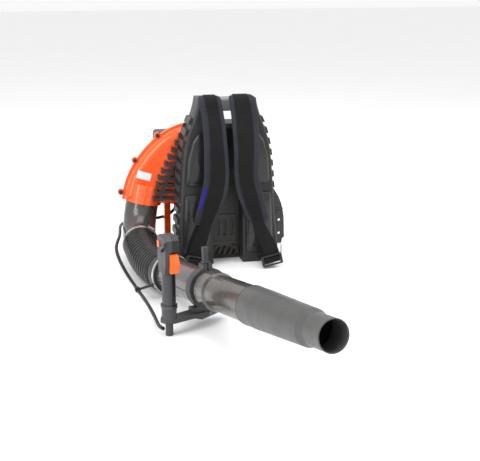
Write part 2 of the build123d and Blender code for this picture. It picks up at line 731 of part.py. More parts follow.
cylinder.part.label = "cylinder"
export_step(cylinder.part, "parts/cylinder.step")

with BuildPart() as piston:
    with BuildSketch(level(PIN_Z - 15)):
        with Locations((FAN_X, CRANK_Y)):
            Circle(BORE / 2 - RUN_FIT)
    extrude(amount=CROWN_Z - PIN_Z + 15)
    with BuildSketch(level(PIN_Z - 16)):
        with Locations((FAN_X, CRANK_Y)):
            Circle(BORE / 2 - 4)
    extrude(amount=CROWN_Z - PIN_Z + 11, mode=Mode.SUBTRACT)
    with BuildSketch(upright(CRANK_Y + BORE / 2 - 3)):
        with Locations((FAN_X, PIN_Z)):
            Circle(5)
    extrude(amount=BORE - 6)
piston.part.label = "piston"
export_step(piston.part, "parts/piston.step")

ROD_W = 2 * WEB_IN - 1
with BuildPart() as connecting_rod:
    with BuildSketch(upright(CRANK_Y + ROD_W / 2)):
        with Locations((FAN_X, PIN_Z)):
            Circle(8.5)
        with Locations((FAN_X, PIN_Z - ROD_L)):
            Circle(12)
        with Locations((FAN_X, PIN_Z - ROD_L / 2)):
            Rectangle(9, ROD_L)
        with Locations((FAN_X, PIN_Z)):
            Circle(5 + RUN_FIT, mode=Mode.SUBTRACT)
    extrude(amount=ROD_W)
connecting_rod.part.label = "connecting_rod"
export_step(connecting_rod.part, "parts/connecting_rod.step")

with BuildPart() as spark_plug:
    with BuildSketch(level(CROWN_Z + 2)):
        with Locations((FAN_X, CRANK_Y)):
            Circle(6)
    extrude(amount=12)
    with BuildSketch(level(CROWN_Z + 14)):
        with Locations((FAN_X, CRANK_Y)):
            RegularPolygon(9, 6)
    extrude(amount=8)
    with BuildSketch(level(CROWN_Z + 22)):
        with Locations((FAN_X, CRANK_Y)):
            Circle(5.5)
    extrude(amount=18)
spark_plug.part.label = "spark_plug"
export_step(spark_plug.part, "parts/spark_plug.step")

with BuildPart() as spark_plug_boot:
    with BuildSketch(level(CROWN_Z + 24)):
        with Locations((FAN_X, CRANK_Y)):
            Circle(9)
    extrude(amount=24)
    with BuildSketch(upright(CRANK_Y + 34)):
        with Locations((FAN_X, CROWN_Z + 38)):
            Circle(5)
    extrude(amount=34)
    with BuildSketch(level(CROWN_Z + 24)):
        with Locations((FAN_X, CRANK_Y)):
            Circle(5.5)
    extrude(amount=16, mode=Mode.SUBTRACT)
    fillet(spark_plug_boot.faces().sort_by(Axis.Z)[-1].edges(), 3)
spark_plug_boot.part.label = "spark_plug_boot"
export_step(spark_plug_boot.part, "parts/spark_plug_boot.step")

FLYWHEEL_Y = (161, 172)
FLYWHEEL_R = 44
with BuildPart() as flywheel:
    with BuildSketch(upright(FLYWHEEL_Y[1])):
        with Locations((FAN_X, FAN_Z)):
            Circle(FLYWHEEL_R)
            Circle(SHAFT_R, mode=Mode.SUBTRACT)
    extrude(amount=FLYWHEEL_Y[1] - FLYWHEEL_Y[0])
    with BuildSketch(upright(FLYWHEEL_Y[1])):
        with Locations((FAN_X, FAN_Z)):
            Circle(36)
            Circle(16, mode=Mode.SUBTRACT)
    extrude(amount=4, mode=Mode.SUBTRACT)
flywheel.part.label = "flywheel"
export_step(flywheel.part, "parts/flywheel.step")

STARTER_R = 66
STARTER_BACK = 206
with BuildPart() as ignition_coil:
    with BuildSketch(upright(FLYWHEEL_Y[1])):
        with Locations((FAN_X, FAN_Z + FLYWHEEL_R + 8.5)):
            Rectangle(34, 16)
    extrude(amount=FLYWHEEL_Y[1] - CASE_Y[1])
ignition_coil.part.label = "ignition_coil"
export_step(ignition_coil.part, "parts/ignition_coil.step")

PULLEY_R = 32
PULLEY_Y = (178, 190)
POST_R = 6
ROPE_Z = FAN_Z + PULLEY_R - 4
with BuildPart() as starter_housing:
    with BuildSketch(upright(STARTER_BACK)):
        with Locations((FAN_X, FAN_Z)):
            Circle(STARTER_R)
    extrude(amount=STARTER_BACK - CASE_Y[1])
    fillet(starter_housing.faces().sort_by(Axis.Y)[-1].edges(), 8)
    with BuildSketch(Plane.YZ.offset(FAN_X)):
        with Locations((184, ROPE_Z)):
            Circle(9)
    extrude(amount=STARTER_R + 4)
    with BuildSketch(upright(STARTER_BACK - 3)):
        with Locations((FAN_X, FAN_Z)):
            Circle(STARTER_R - 3)
    extrude(amount=STARTER_BACK - 3 - CASE_Y[1], mode=Mode.SUBTRACT)
    with BuildSketch(Plane.YZ.offset(FAN_X)):
        with Locations((184, ROPE_Z)):
            Circle(3)
    extrude(amount=STARTER_R + 6, mode=Mode.SUBTRACT)
    with BuildSketch(upright(STARTER_BACK - 3)):
        with Locations((FAN_X, FAN_Z)):
            Circle(POST_R)
    extrude(amount=STARTER_BACK - 3 - PULLEY_Y[0] + 2)
starter_housing.part.label = "starter_housing"
export_step(starter_housing.part, "parts/starter_housing.step")

with BuildPart() as starter_pulley:
    with BuildSketch(upright(PULLEY_Y[1])):
        with Locations((FAN_X, FAN_Z)):
            Circle(PULLEY_R)
            Circle(POST_R + RUN_FIT, mode=Mode.SUBTRACT)
    extrude(amount=PULLEY_Y[1] - PULLEY_Y[0])
    with BuildSketch(upright(PULLEY_Y[1] - 3)):
        with Locations((FAN_X, FAN_Z)):
            Circle(PULLEY_R + 1)
            Circle(PULLEY_R - 7, mode=Mode.SUBTRACT)
    extrude(amount=PULLEY_Y[1] - PULLEY_Y[0] - 6, mode=Mode.SUBTRACT)
starter_pulley.part.label = "starter_pulley"
export_step(starter_pulley.part, "parts/starter_pulley.step")

GRIP_X = FAN_X + STARTER_R + 4
with BuildPart() as starter_grip:
    with BuildSketch(Plane.YZ.offset(GRIP_X + GAP)):
        with Locations((184, ROPE_Z)):
            RectangleRounded(16, 44, 7)
    extrude(amount=18)
    fillet(starter_grip.edges().filter_by(Axis.Z), 4)
starter_grip.part.label = "starter_grip"
export_step(starter_grip.part, "parts/starter_grip.step")

# ---------------------------------------------------------------- fuel, air and exhaust
PORT_Z = HEAD_FLANGE_Z + 22
CARB_X = (FAN_X - 96, FAN_X - 48)
THROTTLE_R = 9
SHAFT_THIN = 2.5
THROTTLE_X = CARB_X[0] + 28
CHOKE_X = CARB_X[0] + 10
with BuildPart() as carburetor:
    with BuildSketch(Plane.YZ.offset(CARB_X[0])):
        with Locations((CRANK_Y, PORT_Z)):
            RectangleRounded(38, 36, 4)
            Circle(THROTTLE_R, mode=Mode.SUBTRACT)
    extrude(amount=CARB_X[1] - CARB_X[0])
    with BuildSketch(level(PORT_Z - 18)):
        with Locations((THROTTLE_X, CRANK_Y + 6)):
            Rectangle(24, 22)
    extrude(amount=-8)
    with BuildSketch(level(PORT_Z - 26)):
        with Locations((THROTTLE_X, CRANK_Y + 6)):
            Circle(9.5)
    extrude(amount=5, mode=Mode.SUBTRACT)
    with BuildSketch(upright(CRANK_Y + 20)):
        with Locations((THROTTLE_X, PORT_Z), (CHOKE_X, PORT_Z)):
            Circle(SHAFT_THIN + RUN_FIT)
    extrude(amount=40, mode=Mode.SUBTRACT)
carburetor.part.label = "carburetor"
export_step(carburetor.part, "parts/carburetor.step")

with BuildPart() as throttle_valve:
    with BuildSketch(upright(CRANK_Y + 23)):
        with Locations((THROTTLE_X, PORT_Z)):
            Circle(SHAFT_THIN)
    extrude(amount=42)
    with BuildSketch(upright(CRANK_Y + THROTTLE_R - 4)):
        with Locations((THROTTLE_X, PORT_Z)):
            Rectangle(1.2, 2 * THROTTLE_R - 5)
    extrude(amount=2 * THROTTLE_R - 8)
    with BuildSketch(upright(CRANK_Y + 25)):
        with Locations((THROTTLE_X, PORT_Z)):
            Circle(6)
        with Locations((THROTTLE_X, PORT_Z - 8)):
            Rectangle(7, 16)
    extrude(amount=2.5)
throttle_valve.part.label = "throttle_valve"
export_step(throttle_valve.part, "parts/throttle_valve.step")

with BuildPart() as choke_lever:
    with BuildSketch(upright(CRANK_Y + 46)):
        with Locations((CHOKE_X, PORT_Z)):
            Circle(SHAFT_THIN)
    extrude(amount=64)
    with BuildSketch(upright(CRANK_Y + 50)):
        with Locations((CHOKE_X, PORT_Z)):
            Circle(6)
        with Locations((CHOKE_X, PORT_Z - 14)):
            RectangleRounded(9, 32, 4)
    extrude(amount=4)
choke_lever.part.label = "choke_lever"
export_step(choke_lever.part, "parts/choke_lever.step")

with BuildPart() as primer_bulb:
    with BuildSketch(level(PORT_Z - 26 - GAP)):
        with Locations((THROTTLE_X, CRANK_Y + 6)):
            Circle(9)
    extrude(amount=-9)
    fillet(primer_bulb.faces().sort_by(Axis.Z)[0].edges(), 6)
primer_bulb.part.label = "primer_bulb"
export_step(primer_bulb.part, "parts/primer_bulb.step")

FILTER_X = (-206, CARB_X[0])
FILTER_Y = (90, 188)
FILTER_Z = (278, 390)
FILTER_MID = ((FILTER_Y[0] + FILTER_Y[1]) / 2, (FILTER_Z[0] + FILTER_Z[1]) / 2)
with BuildPart() as air_filter:
    with BuildSketch(Plane.YZ.offset(FILTER_X[1] - 46)):
        with Locations(FILTER_MID):
            RectangleRounded(76, 90, 12)
            RectangleRounded(44, 58, 6, mode=Mode.SUBTRACT)
    extrude(amount=40)
    with BuildSketch(Plane.YZ.offset(FILTER_X[1] - 50)):
        with Locations(FILTER_MID):
            RectangleRounded(76, 90, 12)
            Circle(4, mode=Mode.SUBTRACT)
    extrude(amount=4)
    # back plate of the filter cartridge, against the carburettor
    with BuildSketch(Plane.YZ.offset(FILTER_X[1] - 6)):
        with Locations(FILTER_MID):
            RectangleRounded(FILTER_Y[1] - FILTER_Y[0], FILTER_Z[1] - FILTER_Z[0], 20)
        with Locations((CRANK_Y, PORT_Z)):
            Circle(THROTTLE_R, mode=Mode.SUBTRACT)
    extrude(amount=6)
air_filter.part.label = "air_filter"
export_step(air_filter.part, "parts/air_filter.step")

with BuildPart() as air_filter_cover:
    with BuildSketch(Plane.YZ.offset(FILTER_X[0] + 14)):
        with Locations(FILTER_MID):
            RectangleRounded(FILTER_Y[1] - FILTER_Y[0], FILTER_Z[1] - FILTER_Z[0], 22)
    extrude(amount=FILTER_X[1] - 6 - FILTER_X[0] - 14)
    fillet(air_filter_cover.faces().sort_by(Axis.X)[0].edges(), 9)
    with BuildSketch(Plane.YZ.offset(FILTER_X[0] + 17)):
        with Locations(FILTER_MID):
            RectangleRounded(FILTER_Y[1] - FILTER_Y[0] - 6, FILTER_Z[1] - FILTER_Z[0] - 6, 19)
            Circle(12, mode=Mode.SUBTRACT)
    extrude(amount=FILTER_X[1] - 6 - FILTER_X[0] - 17, mode=Mode.SUBTRACT)
    with BuildSketch(Plane.YZ.offset(FILTER_X[0])):
        with Locations(FILTER_MID):
            Circle(4 + RUN_FIT)
    extrude(amount=FILTER_X[1] - 50 - FILTER_X[0], mode=Mode.SUBTRACT)
    with BuildSketch(Plane.YZ.offset(FILTER_X[1] - 50)):
        with Locations(FILTER_MID):
            Circle(14)
    extrude(amount=44, mode=Mode.SUBTRACT)
air_filter_cover.part.label = "air_filter_cover"
export_step(air_filter_cover.part, "parts/air_filter_cover.step")

with BuildPart() as filter_knob:
    with BuildSketch(Plane.YZ.offset(FILTER_X[0] + 14 - GAP)):
        with Locations(FILTER_MID):
            Circle(16)
            with PolarLocations(17, 8):
                Circle(3, mode=Mode.SUBTRACT)
    extrude(amount=-12)
    with BuildSketch(Plane.YZ.offset(FILTER_X[0] + 14 - GAP)):
        with Locations(FILTER_MID):
            Circle(4)
    extrude(amount=FILTER_X[1] - 52 - FILTER_X[0] - 14)
filter_knob.part.label = "filter_knob"
export_step(filter_knob.part, "parts/filter_knob.step")

MUFFLER_X = (FAN_X + 48, FAN_X + 118)
with BuildPart() as muffler:
    with BuildSketch(Plane.YZ.offset(MUFFLER_X[0])):
        with Locations((CRANK_Y, PORT_Z - 4)):
            RectangleRounded(60, 84, 12)
    extrude(amount=MUFFLER_X[1] - MUFFLER_X[0])
    fillet(muffler.faces().sort_by(Axis.X)[-1].edges(), 9)
    with BuildSketch(upright(CRANK_Y + 36)):
        with Locations((MUFFLER_X[1] - 22, PORT_Z + 10)):
            Circle(9)
            Circle(7, mode=Mode.SUBTRACT)
    extrude(amount=6.5)
muffler.part.label = "muffler"
export_step(muffler.part, "parts/muffler.step")

with BuildPart() as muffler_guard:
    with BuildSketch(Plane.YZ.offset(MUFFLER_X[1] + 3)):
        with Locations((CRANK_Y, PORT_Z - 4)):
            RectangleRounded(70, 96, 14)
            with Locations((0, -30), (0, -15), (0, 0), (0, 15), (0, 30)):
                SlotOverall(48, 6, mode=Mode.SUBTRACT)
    extrude(amount=3)
    with BuildSketch(level(PORT_Z - 4 + 42)):
        with Locations(((MUFFLER_X[0] + MUFFLER_X[1]) / 2 + 8, CRANK_Y)):
            Rectangle(MUFFLER_X[1] - MUFFLER_X[0] - 10, 50)
    extrude(amount=3)
    with BuildSketch(Plane.YZ.offset(MUFFLER_X[1] + 1)):
        with Locations((CRANK_Y, PORT_Z - 4 + 43.5)):
            Rectangle(50, 3)
    extrude(amount=4)
muffler_guard.part.label = "muffler_guard"
export_step(muffler_guard.part, "parts/muffler_guard.step")

SHROUD_TOP = CROWN_Z + 52
with BuildPart() as engine_shroud:
    with BuildSketch(level(HEAD_FLANGE_Z + 62)):
        with Locations((FAN_X, CRANK_Y)):
            RectangleRounded(96, 76, 10)
    extrude(amount=SHROUD_TOP - HEAD_FLANGE_Z - 62)
    fillet(engine_shroud.faces().sort_by(Axis.Z)[-1].edges(), 8)
    with BuildSketch(level(HEAD_FLANGE_Z + 62)):
        with Locations((FAN_X, CRANK_Y)):
            RectangleRounded(90, 70, 8)
    extrude(amount=SHROUD_TOP - HEAD_FLANGE_Z - 62 - 3, mode=Mode.SUBTRACT)
    with BuildSketch(level(HEAD_FLANGE_Z + 54)):
        with Locations((FAN_X - 46.5, CRANK_Y), (FAN_X + 46.5, CRANK_Y)):
            Rectangle(3, 40)
    extrude(amount=9)
engine_shroud.part.label = "engine_shroud"
export_step(engine_shroud.part, "parts/engine_shroud.step")

TANK_X = (-112, 104)
TANK_Y = (88, 164)
TANK_Z = (BASE_T, FAN_Z - 68)
FILLER = (-84, 128)
with BuildPart() as fuel_tank:
    with BuildSketch(level(TANK_Z[0])):
        with Locations(((TANK_X[0] + TANK_X[1]) / 2, (TANK_Y[0] + TANK_Y[1]) / 2)):
            RectangleRounded(TANK_X[1] - TANK_X[0], TANK_Y[1] - TANK_Y[0], 16)
    extrude(amount=TANK_Z[1] - TANK_Z[0])
    fillet(fuel_tank.faces().sort_by(Axis.Z)[-1].edges(), 9)
    with BuildSketch(level(TANK_Z[1] - 2)):
        with Locations(FILLER):
            Circle(18)
    extrude(amount=14)
    with BuildSketch(level(TANK_Z[0] + 3)):
        with Locations(((TANK_X[0] + TANK_X[1]) / 2, (TANK_Y[0] + TANK_Y[1]) / 2)):
            RectangleRounded(TANK_X[1] - TANK_X[0] - 6, TANK_Y[1] - TANK_Y[0] - 6, 13)
    extrude(amount=TANK_Z[1] - TANK_Z[0] - 6, mode=Mode.SUBTRACT)
    with BuildSketch(level(TANK_Z[1] - 10)):
        with Locations(FILLER):
            Circle(14)
    extrude(amount=40, mode=Mode.SUBTRACT)
fuel_tank.part.label = "fuel_tank"
export_step(fuel_tank.part, "parts/fuel_tank.step")

CAP_Z = TANK_Z[1] + 12
with BuildPart() as fuel_cap:
    with BuildSketch(level(CAP_Z + GAP)):
        with Locations(FILLER):
            Circle(22)
            with PolarLocations(23, 10):
                Circle(2.6, mode=Mode.SUBTRACT)
    extrude(amount=13)
    with BuildSketch(level(CAP_Z - 9)):
        with Locations(FILLER):
            Circle(14 - RUN_FIT)
    extrude(amount=10)
fuel_cap.part.label = "fuel_cap"
export_step(fuel_cap.part, "parts/fuel_cap.step")

# ---------------------------------------------------------------- elbow, bellows and tubes
ELBOW_SPAN = radians(ELBOW_TURN)


def elbow_point(turn):
    """Centre of the elbow after a turn in radians from the outlet."""
    down = ELBOW_R * sin(turn)
    ahead = ELBOW_R * (1 - cos(turn))
    return (OUTLET[0] + OUT_DIR[0] * down, OUTLET[1] - ahead, OUTLET[2] + OUT_DIR[2] * down)


def elbow_heading(turn):
    return (OUT_DIR[0] * cos(turn), -sin(turn), OUT_DIR[2] * cos(turn))


ELBOW_END = Vector(*elbow_point(ELBOW_SPAN))
ELBOW_DIR = Vector(*elbow_heading(ELBOW_SPAN)).normalized()
CUFF_L = 32            # how far the bellows' cuffs reach over the elbow and the tube
with BuildPart() as outlet_elbow:
    with BuildLine():
        start = Vector(*OUTLET) - Vector(*OUT_DIR) * SOCKET
        Line(start, Vector(*OUTLET))
        ThreePointArc(Vector(*OUTLET), elbow_point(ELBOW_SPAN / 2), ELBOW_END)
        Line(ELBOW_END, ELBOW_END + ELBOW_DIR * CUFF_L)
    with BuildSketch(Plane(origin=start, z_dir=OUT_DIR)):
        Circle(DUCT_OD / 2 - 0.4)
        Circle(DUCT_OD / 2 - DUCT_WALL, mode=Mode.SUBTRACT)
    sweep()
outlet_elbow.part.label = "outlet_elbow"
export_step(outlet_elbow.part, "parts/outlet_elbow.step")

HEAD = radians(TUBE_HEADING)
CLIMB = radians(TUBE_PITCH)
TUBE_DIR = Vector(cos(CLIMB) * sin(HEAD), -cos(CLIMB) * cos(HEAD), sin(CLIMB))
TUBE_SIDE = Vector(cos(HEAD), sin(HEAD), 0)


def tube_plane(along):
    """Plane square to the tube, along mm from the handle clamp; x to the right, y upwards."""
    return Plane(origin=Vector(*TUBE_AT) + TUBE_DIR * along, x_dir=TUBE_SIDE, z_dir=TUBE_DIR)


FRONT_CUFF = -242      # front end of the bellows along the tube
bellows_start = ELBOW_END + ELBOW_DIR * 0.5
bellows_end = Vector(*TUBE_AT) + TUBE_DIR * FRONT_CUFF
CUFF_BEND = 120        # straight reach from each end before the bellows bends
bend_rear = bellows_start + ELBOW_DIR * CUFF_BEND
bend_front = bellows_end - TUBE_DIR * CUFF_BEND
bellows_mid = (bend_rear + bend_front) * 0.5

with BuildPart() as bellows_rear:
    with BuildLine():
        FilletPolyline(bellows_start, bend_rear, bellows_mid, radius=400)
    with BuildSketch(Plane(origin=bellows_start, z_dir=ELBOW_DIR)):
        Circle(BELLOWS_OD / 2)
        Circle(DUCT_OD / 2, mode=Mode.SUBTRACT)
    sweep()
bellows_rear.part.label = "bellows_rear"
export_step(bellows_rear.part, "parts/bellows_rear.step")

with BuildPart() as bellows_front:
    with BuildLine():
        FilletPolyline(bellows_end, bend_front, bellows_mid, radius=400)
    with BuildSketch(Plane(origin=bellows_end, z_dir=-TUBE_DIR)):
        Circle(BELLOWS_OD / 2)
        Circle(DUCT_OD / 2, mode=Mode.SUBTRACT)
    sweep()
bellows_front.part.label = "bellows_front"
export_step(bellows_front.part, "parts/bellows_front.step")

BAND_W = 11
with BuildPart() as rear_hose_clamp:
    clamp_at = Plane(origin=ELBOW_END + ELBOW_DIR * 6, x_dir=(1, 0, 0), z_dir=ELBOW_DIR)
    with BuildSketch(clamp_at):
        Circle(BELLOWS_OD / 2 + 1.2)
        Circle(BELLOWS_OD / 2, mode=Mode.SUBTRACT)
    extrude(amount=BAND_W)
    with BuildSketch(clamp_at.offset(1)):
        with Locations((14, -BELLOWS_OD / 2 - 4.5)):
            Rectangle(20, 7)
    extrude(amount=BAND_W - 2)
rear_hose_clamp.part.label = "rear_hose_clamp"
export_step(rear_hose_clamp.part, "parts/rear_hose_clamp.step")

with BuildPart() as front_hose_clamp:
    with BuildSketch(tube_plane(FRONT_CUFF - 6 - BAND_W)):
        Circle(BELLOWS_OD / 2 + 1.2)
        Circle(BELLOWS_OD / 2, mode=Mode.SUBTRACT)
    extrude(amount=BAND_W)
    with BuildSketch(tube_plane(FRONT_CUFF - 5 - BAND_W)):
        with Locations((10, BELLOWS_OD / 2 + 4.5)):
            Rectangle(20, 7)
    extrude(amount=BAND_W - 2)
front_hose_clamp.part.label = "front_hose_clamp"
export_step(front_hose_clamp.part, "parts/front_hose_clamp.step")

# ring inside the front cuff, in which the swivel tube turns
with BuildPart() as swivel_collar:
    with BuildSketch(tube_plane(FRONT_CUFF - CUFF_L)):
        Circle(DUCT_OD / 2)
        Circle(TUBE_OD / 2 + RUN_FIT, mode=Mode.SUBTRACT)
    extrude(amount=CUFF_L)
swivel_collar.part.label = "swivel_collar"
export_step(swivel_collar.part, "parts/swivel_collar.step")

BEAD_AT = 40
BEAD_W = 5

with BuildPart() as swivel_tube:
    with BuildSketch(tube_plane(TUBE_BACK)):
        Circle(TUBE_OD / 2)
    extrude(amount=TUBE_END - TUBE_BACK)
    with BuildSketch(tube_plane(BEAD_AT)):
        Circle(TUBE_OD / 2 + 3)
    extrude(amount=BEAD_W)
    with BuildSketch(tube_plane(TUBE_BACK - 1)):
        Circle(TUBE_OD / 2 - TUBE_WALL)
    extrude(amount=TUBE_END - TUBE_BACK + 2, mode=Mode.SUBTRACT)
swivel_tube.part.label = "swivel_tube"
export_step(swivel_tube.part, "parts/swivel_tube.step")

# the middle tube slips over the swivel tube, the nozzle over the middle tube
MIDDLE_START = BEAD_AT + BEAD_W + GAP
MIDDLE_ID = TUBE_OD + 2 * RUN_FIT
MIDDLE_OD = MIDDLE_ID + 2 * TUBE_WALL
NECK_OD = 94
NECK_AT = 90           # where the middle tube steps down past the end of the swivel tube
with BuildPart() as middle_tube:
    with BuildSketch(tube_plane(MIDDLE_START)):
        Circle(MIDDLE_OD / 2)
    extrude(amount=NECK_AT - 10 - MIDDLE_START)
    with BuildSketch(tube_plane(NECK_AT - 10)):
        Circle(MIDDLE_OD / 2)
    with BuildSketch(tube_plane(NECK_AT)):
        Circle(NECK_OD / 2)
    loft()
    with BuildSketch(tube_plane(NECK_AT)):
        Circle(NECK_OD / 2)
    extrude(amount=MIDDLE_END - NECK_AT)
    with BuildSketch(tube_plane(MIDDLE_END - LAP - BEAD_W - GAP)):
        Circle(NECK_OD / 2 + 3)
    extrude(amount=BEAD_W)
    with BuildSketch(tube_plane(MIDDLE_START - 1)):
        Circle(MIDDLE_ID / 2)
    extrude(amount=NECK_AT - 10 - MIDDLE_START + 1, mode=Mode.SUBTRACT)
    with BuildSketch(tube_plane(NECK_AT - 11)):
        Circle(NECK_OD / 2 - TUBE_WALL)
    extrude(amount=MIDDLE_END - NECK_AT + 12, mode=Mode.SUBTRACT)
middle_tube.part.label = "middle_tube"
export_step(middle_tube.part, "parts/middle_tube.step")

NOZZLE_START = MIDDLE_END - LAP
NOZZLE_ID = NECK_OD + 2 * RUN_FIT
SHOULDER_OD = 88
TIP_START = NOZZLE_SHOULDER + 22   # the straight tip begins past the shoulder
with BuildPart() as nozzle:
    with BuildSketch(tube_plane(NOZZLE_START)):
        Circle(NOZZLE_ID / 2 + TUBE_WALL)
    extrude(amount=LAP + 12)
    with BuildSketch(tube_plane(MIDDLE_END + 12)):
        Circle(NOZZLE_ID / 2 + TUBE_WALL)
    with BuildSketch(tube_plane(NOZZLE_SHOULDER)):
        Circle(SHOULDER_OD / 2)
    loft()
    with BuildSketch(tube_plane(NOZZLE_SHOULDER)):
        Circle(SHOULDER_OD / 2)
    with BuildSketch(tube_plane(TIP_START)):
        Circle(NOZZLE_OD / 2)
    loft()
    with BuildSketch(tube_plane(TIP_START)):
        Circle(NOZZLE_OD / 2)
    extrude(amount=NOZZLE_TIP - TIP_START)
    with BuildSketch(tube_plane(NOZZLE_START - 1)):
        Circle(NOZZLE_ID / 2)
    extrude(amount=LAP + 2, mode=Mode.SUBTRACT)
    with BuildSketch(tube_plane(MIDDLE_END + 1)):
        Circle(NOZZLE_ID / 2 - 1)
    with BuildSketch(tube_plane(NOZZLE_SHOULDER)):
        Circle(SHOULDER_OD / 2 - TUBE_WALL)
    loft(mode=Mode.SUBTRACT)
    with BuildSketch(tube_plane(NOZZLE_SHOULDER)):
        Circle(SHOULDER_OD / 2 - TUBE_WALL)
    with BuildSketch(tube_plane(TIP_START)):
        Circle(NOZZLE_OD / 2 - TUBE_WALL)
    loft(mode=Mode.SUBTRACT)
    with BuildSketch(tube_plane(TIP_START)):
        Circle(NOZZLE_OD / 2 - TUBE_WALL)
    extrude(amount=NOZZLE_TIP - NOZZLE_SHOULDER, mode=Mode.SUBTRACT)
nozzle.part.label = "nozzle"
export_step(nozzle.part, "parts/nozzle.step")

# ---------------------------------------------------------------- handle on its clamp
HANDLE_AT = (-281, -715)
HANDLE_HEADING = radians(13)
GRIP_FOOT = 76
GRIP_NECK = 172        # where the grip meets the wider head
HEAD_TOP = 268
CLAMP_W = 30
CLAMP_WALL = 6
STUB_R = 10
HEAD_HALF = 19         # half width of the grip's head


def handle_plane(z, right=0, back=0):
    """Level plane in the handle's own heading: x to the right, y towards the wearer."""
    x = HANDLE_AT[0] + right * cos(HANDLE_HEADING) - back * sin(HANDLE_HEADING)
    y = HANDLE_AT[1] + right * sin(HANDLE_HEADING) + back * cos(HANDLE_HEADING)
    return Plane(origin=(x, y, z), x_dir=(cos(HANDLE_HEADING), sin(HANDLE_HEADING), 0), z_dir=(0, 0, 1))


def handle_side(right, back, z):
    """Upright plane that faces the handle's right side."""
    base = handle_plane(z, right, back)
    return Plane(origin=base.origin, x_dir=base.y_dir, z_dir=base.x_dir)


with BuildPart() as handle_bracket:
    with BuildSketch(tube_plane(-CLAMP_W / 2)):
        Circle(TUBE_OD / 2 + CLAMP_WALL)
        with Locations((0, TUBE_OD / 2 + 9)):
            Rectangle(26, 16)
        with Locations((-20, -TUBE_OD / 2 - 4)):
            Rectangle(60, 18)
        Circle(TUBE_OD / 2 + RUN_FIT, mode=Mode.SUBTRACT)
        with Locations((0, TUBE_OD / 2 + 10)):
            Rectangle(3, 24, mode=Mode.SUBTRACT)
    extrude(amount=CLAMP_W)
    with BuildSketch(level(36)):
        with BuildLine():
            Polyline((-186, -640), (-222, -668), (-262, -690), (-296, -694), (-304, -716), (-292, -734),
                     (-268, -734), (-226, -712), (-170, -690), (-158, -670), close=True)
        make_face()
    extrude(amount=12)
    with BuildSketch(level(26)):
        with BuildLine():
            Polyline((-222, -670), (-214, -640), (-120, -606), (-112, -622), (-190, -690), close=True)
        make_face()
    extrude(amount=10)
    with BuildSketch(level(0)):
        with Locations((HANDLE_AT[0], HANDLE_AT[1])):
            Circle(STUB_R)
    extrude(amount=40)
    with BuildSketch(handle_plane(40)):
        Ellipse(19, 22)
    extrude(amount=GRIP_FOOT - 40)
    with BuildSketch(tube_plane(-CLAMP_W)):
        Circle(TUBE_OD / 2 + RUN_FIT)
    extrude(amount=2 * CLAMP_W, mode=Mode.SUBTRACT)
handle_bracket.part.label = "handle_bracket"
export_step(handle_bracket.part, "parts/handle_bracket.step")

with BuildPart() as clamp_knob:
    with BuildSketch(tube_plane(0)):
        with Locations((0, TUBE_OD / 2 + 17 + GAP + 22)):
            Rectangle(13, 44)
    extrude(amount=6.5, both=True)
    with BuildSketch(tube_plane(0)):
        with Locations((0, TUBE_OD / 2 + 17 + GAP + 3)):
            Rectangle(18, 6)
    extrude(amount=9, both=True)
    fillet(clamp_knob.faces().sort_by(Axis.Z)[-1].edges(), 3)
clamp_knob.part.label = "clamp_knob"
export_step(clamp_knob.part, "parts/clamp_knob.step")

TRIGGER_Z = (172, 224)
TRIGGER_X = (-7, 15)
TRIGGER_PIVOT = (-13, 216)      # back, height
PIN_R = 2.5
with BuildPart() as grip_body:
    with BuildSketch(handle_plane(GRIP_FOOT)):
        Ellipse(21, 25)
    extrude(amount=8)
    with BuildSketch(handle_plane(GRIP_FOOT + 8)):
        Ellipse(17, 21)
    extrude(amount=GRIP_NECK - GRIP_FOOT - 8)
    with BuildSketch(handle_side(-HEAD_HALF, 0, (GRIP_NECK + HEAD_TOP) / 2)):
        with BuildLine():
            Polyline((-24, -48), (20, -48), (25, -10), (26, 36), (18, 48), (-14, 48), (-28, 38), (-28, -20), close=True)
        make_face()
    extrude(amount=2 * HEAD_HALF)
    fillet(grip_body.faces().group_by(Axis.Z)[-1].edges(), 5)

with BuildPart() as trigger_space:
    with BuildSketch(handle_side(TRIGGER_X[0] - GAP, 0, (TRIGGER_Z[0] + TRIGGER_Z[1]) / 2)):
        with Locations((-19, 0)):
            Rectangle(44, TRIGGER_Z[1] - TRIGGER_Z[0] + 6)
    extrude(amount=TRIGGER_X[1] - TRIGGER_X[0] + 2 * GAP)

with BuildPart() as trigger_pin:
    with BuildSketch(handle_side(-14, *TRIGGER_PIVOT)):
        Circle(PIN_R)
    extrude(amount=31)
trigger_pin.part.label = "trigger_pin"
export_step(trigger_pin.part, "parts/trigger_pin.step")

with BuildPart() as switch_space:
    with BuildSketch(handle_side(-HEAD_HALF - 7, 14, 244)):
        Rectangle(12.8, 16.8)
    extrude(amount=20)
    with BuildSketch(handle_side(-HEAD_HALF - 7, -8, 236)):
        Circle(4 + RUN_FIT)
    extrude(amount=16)

with BuildPart() as grip_shell_left:
    add(grip_body.part)
    add(trigger_space.part, mode=Mode.SUBTRACT)
    add(switch_space.part, mode=Mode.SUBTRACT)
    add(trigger_pin.part, mode=Mode.SUBTRACT)
    split(bisect_by=handle_side(0, 0, 100), keep=Keep.BOTTOM)
grip_shell_left.part.label = "grip_shell_left"
export_step(grip_shell_left.part, "parts/grip_shell_left.step")

with BuildPart() as grip_shell_right:
    add(grip_body.part)
    add(trigger_space.part, mode=Mode.SUBTRACT)
    add(trigger_pin.part, mode=Mode.SUBTRACT)
    split(bisect_by=handle_side(0, 0, 100), keep=Keep.TOP)
grip_shell_right.part.label = "grip_shell_right"
export_step(grip_shell_right.part, "parts/grip_shell_right.step")

